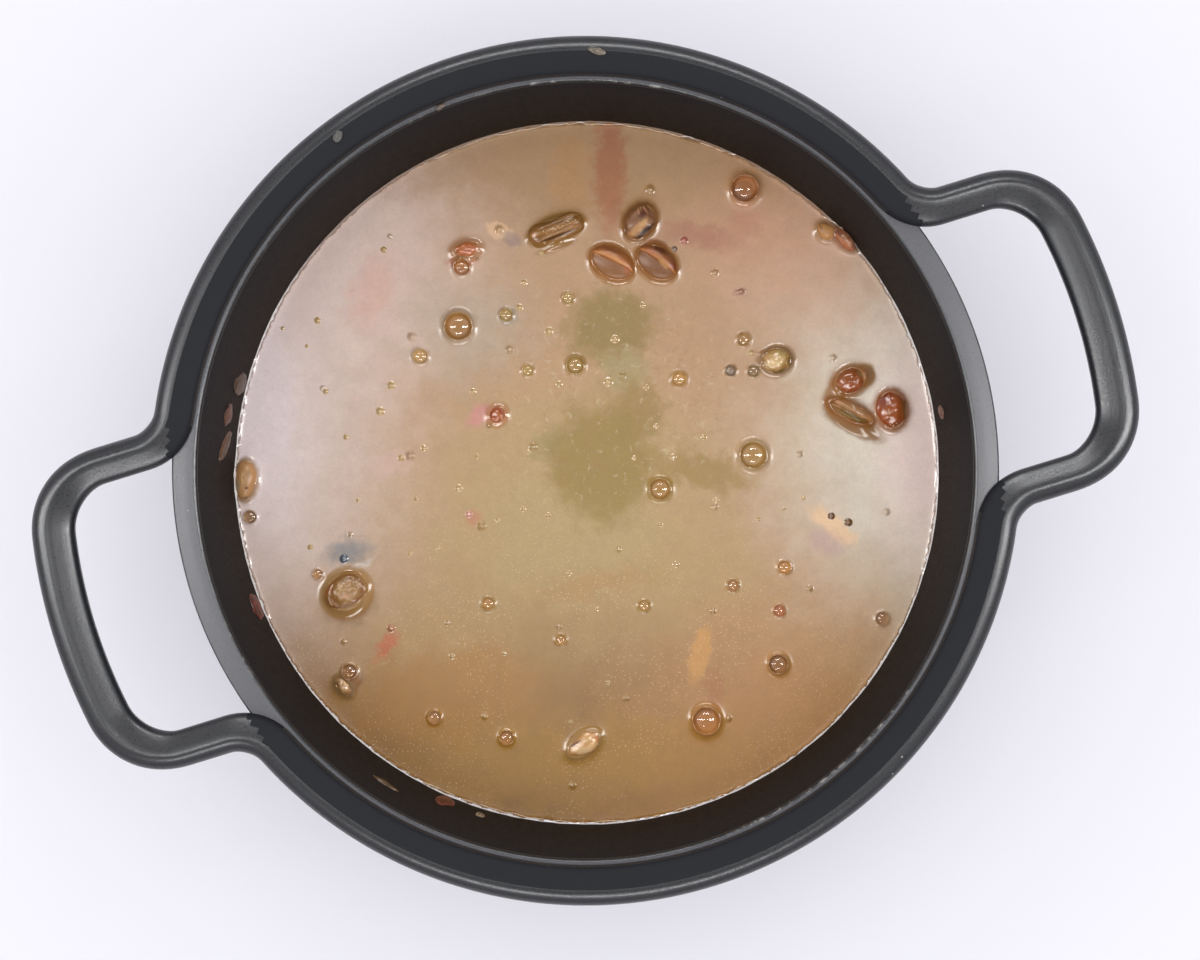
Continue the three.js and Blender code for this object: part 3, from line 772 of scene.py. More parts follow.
def refine(item, wanted, cuts):
    """Cuts up the faces whose middles are wanted."""
    centres = np.empty(len(item.data.polygons) * 3)
    item.data.polygons.foreach_get("center", centres)
    chosen = wanted(centres.reshape(-1, 3) / MM)
    bpy.ops.object.mode_set(mode="EDIT")
    bpy.ops.mesh.select_all(action="DESELECT")
    bpy.ops.mesh.select_mode(type="FACE")
    bpy.ops.object.mode_set(mode="OBJECT")
    item.data.polygons.foreach_set("select", chosen)
    bpy.ops.object.mode_set(mode="EDIT")
    bpy.ops.mesh.subdivide(number_cuts=cuts)
    bpy.ops.object.mode_set(mode="OBJECT")


def detail_zone(edge, margin, inside, swell):
    """A test for faces near the wall, the pieces and the bubbles."""
    def test(centres):
        """True for the faces whose centres lie near something."""
        near = np.hypot(centres[:, 0], centres[:, 1]) > edge - 2.2 - margin
        for name in PIECES:
            away = outline_distance(centres, name)
            near |= (away < 2.0 + margin) & (away > -inside)
        for *oval, _, _, _ in MOUNDS:
            near |= oval_share(centres, *oval) < 1.1 + 0.1 * margin
        round_ones = [(place, reach) for place, reach, _ in large_bubbles()] + small_bubbles()
        for place, reach in round_ones:
            near |= disc_share(centres, place, 1) < reach * swell + 0.5 + 0.4 * margin
        return near
    return test


def broth_body(pot, broth):
    """The broth: a fine top, finest at the wall and round the pieces, and a plain body below it."""
    level = broth.level / MM
    edge = inner_radius(pot, level) - WALL_GAP
    deselect()
    bpy.ops.mesh.primitive_grid_add(x_subdivisions=SURFACE_CUTS, y_subdivisions=SURFACE_CUTS, size=2,
                                    location=(0, 0, 0))
    item = bpy.context.object
    square = read_points(item) * MM
    x, y = square[:, 0], square[:, 1]
    swap = np.abs(y) > np.abs(x)
    big, small = np.where(swap, y, x), np.where(swap, x, y)
    angle = np.where(np.abs(big) > 1e-9, math.pi / 4 * small / np.where(np.abs(big) > 1e-9, big, 1), 0)
    first, second = edge * big * np.cos(angle), edge * big * np.sin(angle)
    disc = np.stack([np.where(swap, second, first), np.where(swap, first, second), np.full(len(x), level)], 1)
    write_points(item, disc)
    refine(item, detail_zone(edge, 3.0, 99, 1.6), 1)
    refine(item, detail_zone(edge, 0.0, 1.8, 1.4), 2)
    points = read_points(item)
    radius = np.hypot(points[:, 0], points[:, 1])
    outer = radius > edge - 0.12
    points[outer, :2] *= (edge / radius[outer])[:, None]
    height = broth_heights(points, broth, edge)
    points[:, 2] = level + height
    points[outer, :2] *= ((edge + height[outer] * math.tan(WALL_TAPER)) / edge)[:, None]
    write_points(item, points)
    # The body under the surface: the outer ring is drawn down the wall and round the corner to the floor.
    corner = corner_centre(pot, -BODY_GAP, FLOOR_THICKNESS + BODY_GAP, INNER_CORNER)
    rings = [(inner_radius(pot, BODY_TOP) - BODY_GAP, BODY_TOP)]
    rings += arc(corner, INNER_CORNER, -WALL_TAPER, -math.pi / 2, 4)
    bpy.ops.object.mode_set(mode="EDIT")
    bpy.ops.mesh.select_mode(type="VERT")
    bpy.ops.mesh.select_all(action="DESELECT")
    bpy.ops.mesh.select_non_manifold()
    for ring_radius, ring_height in rings:
        bpy.ops.mesh.extrude_edges_move(TRANSFORM_OT_translate={"value": (0, 0, -0.001)})
        bpy.ops.object.mode_set(mode="OBJECT")
        chosen = np.zeros(len(item.data.vertices), bool)
        item.data.vertices.foreach_get("select", chosen)
        points = read_points(item)
        scale = ring_radius / np.hypot(points[chosen, 0], points[chosen, 1])
        points[chosen, :2] *= scale[:, None]
        points[chosen, 2] = ring_height
        write_points(item, points)
        bpy.ops.object.mode_set(mode="EDIT")
    bpy.ops.mesh.extrude_edges_move(TRANSFORM_OT_translate={"value": (0, 0, 0)})
    bpy.ops.mesh.merge(type="CENTER")
    bpy.ops.mesh.select_all(action="SELECT")
    bpy.ops.mesh.normals_make_consistent(inside=False)
    bpy.ops.object.mode_set(mode="OBJECT")
    points = read_points(item)
    top = points[:, 2] > level - 4
    stains = broth_stains(points) * top[:, None]
    write_attribute(item, "stain", stains, "FLOAT_COLOR")
    write_attribute(item, "stain_share", stains[:, 3])
    write_attribute(item, "wetness", broth_wetness(points) * top)
    write_attribute(item, "from_wall", np.where(top, edge - np.hypot(points[:, 0], points[:, 1]), 0))
    activate(item)
    bpy.ops.object.shade_smooth_by_angle(angle=math.radians(60))
    return item


# Low mounds of broth film drawn up by pieces just below it, along the view's axes with the pot's middle
# as origin: x, y, length, width, turn, height, colour, strength.
MOUNDS = [
    (108.3, 37.6, 8.6, 9.6, 0, 2.4, "#a67946", 0.9),
    (96.6, 29.5, 9, 16, -12, 1.2, "#996833", 0.8),
    (104.0, 18.3, 26, 7.5, -27, 1.3, "#926532", 0.85),
    (116.5, 24.5, 8, 13, 10, 1.2, "#9b6336", 0.7),
    (-92.5, -50.5, 19, 15, 20, 0.8, "#9a632e", 0.6),
    (-11.5, 88.2, 17, 4, 20, 0.8, "#956633", 0.75),
    (26.5, 88, 10, 6, 0, 0.7, "#905133", 0.6),
    (59.6, 70.2, 5.2, 3, 15, 1.0, "#ab796a", 0.7),
    (-48.4, 82.6, 13, 5, 10, 0.7, "#af5c30", 0.6),
    (69.5, 46, 9, 3, -10, 0.5, "#b07b52", 0.6),
    (-92, -81, 10, 9, 20, 0.8, "#895830", 0.6),
]

# Soft patches of the broth, each of one colour that was fitted to the photograph. Along the view's axes with
# the pot's middle as origin: x, y, length, width, turn, colour, strength, softness, and how far their edges
# wander. Millimetres and degrees.
PATCHES = [
    # Painted sheen: pale reflections of the light over the left, right and upper left of the skin.
    (-150, 30, 170, 300, 0, "#ebdad5", 0.95, 0.95, 6),
    (-100, 90, 150, 130, 40, "#e9d0c7", 0.7, 0.9, 6),
    (150, 20, 170, 260, 8, "#f7f4e4", 0.95, 0.95, 6),
    (132, 10, 50, 120, 4, "#f4d1ca", 0.7, 0.9, 4),
    (-128, 30, 40, 120, 8, "#f3e3e5", 0.6, 0.9, 4),
    # Broad drifts of the skin's colour.
    (-45, 55, 60, 50, 20, "#afa494", 0.5, 0.9, 6),
    (60, 45, 70, 50, -20, "#b5895f", 0.5, 0.9, 6),
    (40, -40, 80, 60, 0, "#b49452", 0.5, 0.9, 6),
    (80, 90, 130, 80, -35, "#d59a76", 0.6, 0.9, 6),
    (0, 125, 190, 60, 0, "#ad8455", 0.75, 0.8, 6),
    (-20, -120, 300, 170, -4, "#936627", 0.95, 0.75, 8),
    (70, -100, 190, 110, 38, "#c0894a", 0.75, 0.85, 8),
    (-10, -20, 150, 120, 20, "#ae975d", 0.7, 0.9, 8),
    (-60, -75, 110, 60, -30, "#bc965d", 0.5, 0.9, 8),
    # Olive broth in the middle, where the skin has parted; its deeper tone is partly a painted reflection of
    # the camera above.
    (9, 57, 42, 33, 10, "#8c7127", 0.85, 0.5, 4),
    (15, 39, 24, 22, 0, "#9e8d59", 0.7, 0.6, 4),
    (20, 24, 25, 28, 0, "#957427", 0.75, 0.6, 4),
    (6, 4, 48, 54, 8, "#947729", 0.9, 0.45, 4),
    (44, 0, 48, 17, -12, "#997727", 0.75, 0.6, 4),
    (-16, 10, 18, 12, 30, "#8b7834", 0.4, 0.6, 3),
    # Golden broth near the lower side.
    (-55, -88, 92, 46, 6, "#ab7527", 0.7, 0.5, 6),
    (-5, -112, 150, 44, 2, "#b48532", 0.6, 0.8, 7),
    # Pieces that lie under the surface.
    (9, 118, 15, 60, 0, "#a55a27", 0.75, 0.6, 2),
    (-6, 116, 18, 44, 0, "#ba8143", 0.5, 0.7, 3),
    (-34, 94, 13, 7, -18, "#e0b58d", 0.85, 0.35, 1),
    (-29, 91, 9, 6, -30, "#8e766f", 0.6, 0.5, 1),
    (-78, -68, 16, 7, 52, "#c7592a", 0.7, 0.7, 1.5),
    (44, -71, 9, 26, -12, "#cf944a", 0.85, 0.4, 1),
    (50, -84, 9, 24, -6, "#a85527", 0.3, 0.8, 2),
    (96, -21, 26, 9, -38, "#f7c998", 0.75, 0.5, 1.5),
    (93, -27, 18, 11, -25, "#c39a92", 0.55, 0.6, 1.5),
    (-42, 22, 13, 9, 30, "#d07e80", 0.6, 0.6, 1.5),
    (-30, 60, 9, 8, 0, "#797b6d", 0.45, 0.7, 1.5),
    (-93, -31, 22, 12, 10, "#4e6775", 0.6, 0.8, 2),
    (-84, 70, 22, 40, -20, "#dc9b81", 0.4, 0.8, 4),
    (-77, 3, 20, 12, 20, "#d6afa3", 0.5, 0.7, 3),
    (44, 92, 40, 12, -10, "#972c27", 0.35, 0.8, 2),
    (-5, -108, 12, 6, -50, "#d0a078", 0.5, 0.6, 1),
    (62, 98, 16, 14, 0, "#b87759", 0.5, 0.8, 1.5),
    (-44, -18, 8, 7, 0, "#c5624e", 0.45, 0.7, 1),
    (2, -44, 70, 12, 10, "#ae7127", 0.3, 0.8, 4),
    (-92, -38.5, 24, 3, 28, "#d8ccc4", 0.6, 0.6, 1),
    (-92, -52, 22, 17, 20, "#856538", 0.7, 0.7, 2),
    (103, 20, 25, 11, -25, "#8c703c", 0.7, 0.6, 0.5),
]


def broth_material(broth):
    """Starchy broth with a skin of fat: cloudy, softly glossy, clearer where the skin has parted.

    Each patch is an oval with a soft, wandering edge; the palest are a painted sheen, and the olive middle is
    partly a painted reflection. Fine droplets of fat give the skin its grain and partly painted glints."""
    material, tree, shader = new_material("starchy_broth", IOR=1.36)
    place = add_node(tree, "TexCoord").outputs["Object"]
    turned = add_node(tree, "Mapping", {"Vector": place, "Rotation": (0, 0, VIEW_TURN),
                                        "Scale": (1 / MM,) * 3})
    wander = {}
    for reach in sorted({patch[8] for patch in PATCHES}):
        wave = add_node(tree, "TexNoise", {"Vector": turned.outputs[0], "Scale": 0.5 / max(reach, 2),
                                           "Detail": 4.0, "Roughness": 0.6}, noise_dimensions="2D")
        centred = add_node(tree, "VectorMath", {0: wave.outputs[1], 1: (0.5, 0.5, 0.5)}, operation="SUBTRACT")
        scaled = add_node(tree, "VectorMath", {0: centred.outputs[0], "Scale": 4.0 * reach},
                          operation="SCALE")
        moved = add_node(tree, "VectorMath", {0: turned.outputs[0], 1: scaled.outputs[0]}, operation="ADD")
        wander[reach] = moved.outputs[0]
    colour = add_node(tree, "Mix", {0: 0.0, 6: broth.body, 7: broth.body}, data_type="RGBA").outputs[2]
    for x, y, length, width, turn, tint, strength, softness, reach in PATCHES:
        oval = add_node(tree, "Mapping", {
            "Vector": wander[reach], "Location": (x, y, 0), "Rotation": (0, 0, math.radians(turn)),
            "Scale": (length / 2, width / 2, 1e4)}, vector_type="TEXTURE")
        away = add_node(tree, "VectorMath", {0: oval.outputs[0]}, operation="LENGTH").outputs["Value"]
        share = add_node(tree, "MapRange", {
            "Value": away, "From Min": 1 + softness * 0.3, "From Max": 1 - softness, "To Max": strength},
            interpolation_type="SMOOTHSTEP").outputs[0]
        colour = add_node(tree, "Mix", {0: share, 6: colour, 7: linear(tint)}, data_type="RGBA").outputs[2]
    # Grain of the skin: droplets 0.9 mm apart under slower mottling of 5 mm.
    grain = add_node(tree, "TexNoise", {"Vector": turned.outputs[0], "Scale": 1.1, "Detail": 3.0,
                                        "Roughness": 0.7}).outputs[0]
    mottle = add_node(tree, "TexNoise", {"Vector": turned.outputs[0], "Scale": 0.2, "Detail": 5.0,
                                         "Roughness": 0.65}).outputs[0]
    both = add_node(tree, "Math", {0: grain, 1: mottle}, operation="ADD").outputs[0]
    light = add_node(tree, "MapRange", {"Value": both, "From Min": 0.6, "From Max": 1.4,
                                        "To Min": 0.9, "To Max": 1.1}).outputs[0]
    colour = add_node(tree, "VectorMath", {0: colour, "Scale": light}, operation="SCALE").outputs[0]
    # Droplets of fat, some 1.3 mm apart, most of them in the golden lower part: partly their own colour,
    # partly painted glints where they catch the light.
    cells = add_node(tree, "TexVoronoi", {"Vector": turned.outputs[0], "Scale": 0.75, "Randomness": 1.0})
    painted_glint = add_node(tree, "MapRange", {"Value": cells.outputs["Distance"],
                                      "From Min": 0.26, "From Max": 0.1}).outputs[0]
    drift = add_node(tree, "TexNoise", {"Vector": turned.outputs[0], "Scale": 0.03, "Detail": 3.0}).outputs[0]
    drift = add_node(tree, "MapRange", {"Value": drift, "From Min": 0.4, "From Max": 0.56}).outputs[0]
    painted_glint = add_node(tree, "Math", {0: painted_glint, 1: drift}, operation="MULTIPLY").outputs[0]
    northing = add_node(tree, "SeparateXYZ", {0: turned.outputs[0]}).outputs[1]
    lower = add_node(tree, "MapRange", {"Value": northing, "From Min": 10.0, "From Max": -60.0,
                                        "To Min": 0.08, "To Max": 0.55}).outputs[0]
    painted_glint = add_node(tree, "Math", {0: painted_glint, 1: lower}, operation="MULTIPLY").outputs[0]
    colour = add_node(tree, "Mix", {0: painted_glint, 6: colour, 7: broth.grain}, data_type="RGBA").outputs[2]
    # Where the skin has parted, brown flecks and pale wisps of it are left, some 3 mm long.
    middle = add_node(tree, "Mapping", {"Vector": turned.outputs[0], "Location": (12, 26, 0),
                                        "Scale": (62, 60, 1e4)}, vector_type="TEXTURE")
    middle = add_node(tree, "VectorMath", {0: middle.outputs[0]}, operation="LENGTH").outputs["Value"]
    middle = add_node(tree, "MapRange", {"Value": middle, "From Min": 1.0, "From Max": 0.5}).outputs[0]
    for scale, low, tint in ((0.22, 0.56, "#a06c3c"), (0.3, 0.58, "#d6c8a4"), (0.9, 0.6, "#8c6a3c")):
        fleck = add_node(tree, "TexNoise", {"Vector": turned.outputs[0], "Scale": scale, "Detail": 5.0,
                                            "Roughness": 0.7, "Distortion": 0.6}).outputs[0]
        fleck = add_node(tree, "MapRange", {"Value": fleck, "From Min": low, "From Max": low + 0.1,
                                            "To Max": 0.36}).outputs[0]
        fleck = add_node(tree, "Math", {0: fleck, 1: middle}, operation="MULTIPLY").outputs[0]
        colour = add_node(tree, "Mix", {0: fleck, 6: colour, 7: linear(tint)}, data_type="RGBA").outputs[2]
    # Films on the pieces and the clear broth in the bubbles.
    stain = add_node(tree, "Attribute", attribute_name="stain").outputs["Color"]
    stained = add_node(tree, "Attribute", attribute_name="stain_share").outputs["Fac"]
    rest = add_node(tree, "Math", {0: 1.0, 1: stained}, operation="SUBTRACT").outputs[0]
    kept = add_node(tree, "VectorMath", {0: colour, "Scale": rest}, operation="SCALE").outputs[0]
    colour = add_node(tree, "VectorMath", {0: kept, 1: stain}, operation="ADD").outputs[0]
    # At the wall: a thin clear line of broth, then a broken pale line, partly foamy starch and partly a
    # painted highlight on the meniscus.
    away = add_node(tree, "Attribute", attribute_name="from_wall").outputs["Fac"]
    wobble = add_node(tree, "TexNoise", {"Vector": turned.outputs[0], "Scale": 0.25, "Detail": 6.0,
                                         "Roughness": 0.75}).outputs[0]
    wobble = add_node(tree, "MapRange", {"Value": wobble, "From Min": 0.25, "From Max": 0.75,
                                         "To Min": -0.8, "To Max": 0.6}).outputs[0]
    away = add_node(tree, "Math", {0: away, 1: wobble}, operation="ADD").outputs[0]
    clear = add_node(tree, "MapRange", {"Value": away, "From Min": 1.05, "From Max": 0.7,
                                        "To Max": 0.7}).outputs[0]
    colour = add_node(tree, "Mix", {0: clear, 6: colour, 7: linear("#6a4e34")}, data_type="RGBA").outputs[2]
    foam_and_highlight = add_node(tree, "MapRange", {"Value": away, "From Min": 0.42, "From Max": 0.24,
                                       "To Max": 0.95}).outputs[0]
    # The painted highlight at the wall fades to faint towards the back.
    highlight_share = add_node(tree, "MapRange", {"Value": northing, "From Min": 92.0, "From Max": 62.0,
                                        "To Min": 0.12}).outputs[0]
    foam_and_highlight = add_node(tree, "Math", {0: foam_and_highlight, 1: highlight_share}, operation="MULTIPLY").outputs[0]
    colour = add_node(tree, "Mix", {0: foam_and_highlight, 6: colour, 7: linear("#ece6e2")}, data_type="RGBA").outputs[2]
    tree.links.new(colour, shader.inputs["Base Color"])
    edge = add_node(tree, "MapRange", {"Value": away, "From Min": 2.0, "From Max": 1.2}).outputs[0]
    taut = add_node(tree, "Attribute", attribute_name="wetness").outputs["Fac"]
    wet = add_node(tree, "Math", {0: edge, 1: taut}, operation="MAXIMUM").outputs[0]
    gloss = add_node(tree, "MapRange", {"Value": wet, "To Min": 0.55, "To Max": 0.07}).outputs[0]
    tree.links.new(gloss, shader.inputs["Roughness"])
    bump = add_node(tree, "Bump", {"Strength": 0.1, "Distance": 0.0002, "Height": grain})
    tree.links.new(bump.outputs[0], shader.inputs["Normal"])
    return material


class POT_OT_broth(bpy.types.Operator):
    """Pours the broth: its surface, its climb up the wall and the pieces, and its body below"""

    bl_idname = "pot.broth"
    bl_label = "Broth"

    def execute(self, context):
        pot, broth = context.scene.rice_pot, context.scene.rice_broth
        finish_piece(broth_body(pot, broth), "broth_body", broth_material(broth), "broth", "broth")
        return {"FINISHED"}


def cap_outline(contact, foot, base, steps):
    """Radius and height points of a spherical cap of radius foot that meets the level at an angle."""
    angle = math.radians(contact)
    ball = foot / math.sin(angle)
    return [(ball * math.sin(a), base + ball * (math.cos(a) - math.cos(angle)))
            for a in np.linspace(angle, 0, steps)]


def copies(pattern, places, level):
    """Copies of a pattern at each place and size, joined as one mesh with a colour for each."""
    made = []
    for (x, y), radius, rise, colour in places:
        activate(pattern)
        bpy.ops.object.duplicate()
        copy = bpy.context.object
        points = read_points(copy) * radius + np.array([x, y, level + rise])
        write_points(copy, points)
        write_attribute(copy, "tint", np.tile(linear(colour), (len(points), 1)), "FLOAT_COLOR")
        made.append(copy)
    activate(*made)
    bpy.ops.object.join()
    bpy.data.objects.remove(pattern)
    return made[-1]


def bead_material():
    """Little closed bubbles and droplets of fat: wet and bright at one point."""
    material, tree, shader = new_material("fat_droplet", IOR=1.45, Roughness=0.05)
    place = add_node(tree, "TexCoord").outputs["Object"]
    tint = add_node(tree, "Attribute", attribute_name="tint").outputs["Color"]
    cloud = add_node(tree, "TexNoise", {"Vector": place, "Scale": 900.0}).outputs[0]
    light = add_node(tree, "MapRange", {"Value": cloud, "To Min": 0.8, "To Max": 1.2}).outputs[0]
    colour = add_node(tree, "VectorMath", {0: tint, "Scale": light}, operation="SCALE").outputs[0]
    tree.links.new(colour, shader.inputs["Base Color"])
    return material


def film_material():
    """A bubble's film: all but clear, with a mirror's gloss that grows towards its edge."""
    material, tree, shader = new_material("bubble_film")
    clear = add_node(tree, "BsdfTransparent", {"Color": linear("#fbf2e2")})
    gloss = add_node(tree, "BsdfGlossy", {"Color": (1, 1, 1, 1), "Roughness": 0.04})
    # From inside it stays clear, so that light gets in.
    share = add_node(tree, "Fresnel", {"IOR": 1.42}).outputs[0]
    behind = add_node(tree, "NewGeometry").outputs["Backfacing"]
    front = add_node(tree, "Math", {0: 1.0, 1: behind}, operation="SUBTRACT").outputs[0]
    share = add_node(tree, "Math", {0: share, 1: front}, operation="MULTIPLY").outputs[0]
    both = add_node(tree, "MixShader", {0: share, 1: clear.outputs[0], 2: gloss.outputs[0]})
    tree.links.new(both.outputs[0], tree.nodes["Material Output"].inputs["Surface"])
    tree.nodes.remove(shader)
    return material


class POT_OT_bubbles(bpy.types.Operator):
    """Sets the films over the large bubbles and the little bubbles between them"""

    bl_idname = "pot.bubbles"
    bl_label = "Bubbles"

    def execute(self, context):
        level = context.scene.rice_broth.level / MM
        pattern = turn_profile(cap_outline(48, 0.98, 0.27, 9), 32)
        films = copies(pattern, [(polar(r, b), d / 2, 0, "#ffffff") for r, b, d, _ in BUBBLES], level)
        activate(films)
        bpy.ops.object.shade_smooth()
        finish_piece(films, "bubble_films", film_material(), "broth")
        pattern = turn_profile([(1.6, -0.06), (1.32, 0.02), (1.1, 0.1)] + cap_outline(50, 0.98, 0.16, 6), 20)
        beads = copies(pattern, [(polar(r, b), d / 2.5, 0, colour[0] if colour else "#c0a070")
                                 for r, b, d, *colour in LITTLE_BUBBLES], level)
        activate(beads)
        bpy.ops.object.shade_smooth()
        finish_piece(beads, "little_bubbles", bead_material(), "broth")
        return {"FINISHED"}


# ---- Food ------------------------------------------------------------------------------------------

# Colours of each piece, from its wet edge (0) to its crown (1).
LOOKS = {
    "bean_upper": ((0, "#74502f"), (0.35, "#7e5432"), (0.7, "#8c5f3c"), (1, "#9a6c48")),
    # For the halved beans the stop at 0.5 is the ridge's painted highlight.
    "bean_left": ((0, "#9e6234"), (0.25, "#ae6634"), (0.5, "#ca864a"), (0.6, "#905626"), (1, "#8f5b2b")),
    "bean_right": ((0, "#8c5630"), (0.25, "#94532c"), (0.5, "#c27e43"), (0.6, "#824a1f"), (1, "#845226")),
    "bean_at_wall": ((0, "#966840"), (0.5, "#bc8a58"), (1, "#cc9a6a")),
    "seed_at_wall": ((0, "#9a6a3c"), (0.5, "#be844c"), (1, "#cc965e")),
    "mushroom_stem": ((0, "#7a5324"), (0.4, "#8a5c2a"), (0.7, "#a87a48"), (1, "#c89c68")),
    "mushroom_cap": ((0, "#9a6a38"), (0.3, "#8a5a2c"), (0.5, "#926231"), (0.7, "#a47a46"), (1, "#be9262")),
    "mushroom_chunk": ((0, "#8c6640"), (0.45, "#9a7044"), (0.7, "#b2864e"), (1, "#d0aa70")),
    "mushroom_slice": ((0, "#866838"), (0.4, "#966a3c"), (0.7, "#ba8250"), (1, "#cc9668")),
    "tomato_lobe": ((0, "#6e4414"), (0.4, "#924e26"), (1, "#a05a2c")),
    "tomato_round": ((0, "#7a4418"), (0.5, "#964a22"), (1, "#a65a2c")),
    "tomato_shred": ((0, "#a05e30"), (0.5, "#b45a28"), (1, "#c87844")),
    "tomato_at_wall": ((0, "#8c5436"), (0.5, "#b66c48"), (1, "#cc9470")),
    "tomato_crumb": ((0, "#8c4422"), (0.5, "#94391a"), (1, "#b06032")),
    "chicken_shred": ((0, "#b0763c"), (0.4, "#cc8e4d"), (1, "#e8bc86")),
    "chicken_flake": ((0, "#866137"), (0.5, "#ba8854"), (1, "#d5a775")),
}

# Colour and reach, in millimetres, of the film of broth that each piece draws up round itself.
HALOS = {
    "bean_upper": ("#85592f", 0.2), "bean_left": ("#9c6430", 0.0), "bean_right": ("#94602f", 0.0),
    "bean_at_wall": ("#a8845c", 0.2), "seed_at_wall": ("#a8805a", 0.3), "mushroom_stem": ("#8f6830", 0.8),
    "mushroom_cap": ("#a8804e", 1.0), "mushroom_chunk": ("#8e6c48", 0.6), "mushroom_slice": ("#935e30", 1.8),
    "tomato_lobe": ("#9c6838", 1.8), "tomato_round": ("#9a6238", 0.8), "tomato_shred": ("#b0805a", 1.0),
    "tomato_at_wall": ("#96684c", 0.3), "tomato_crumb": ("#b8805c", 0.6), "chicken_shred": ("#a88250", 0.8),
    "chicken_flake": ("#8a6a44", 0.8),
}

# How far the pieces at the wall lean over towards it, in the part's x and y.
SHIFTS = {"bean_at_wall": (-1.45, 0.4), "seed_at_wall": (2.8, -0.2), "tomato_at_wall": (1.2, 1.0)}
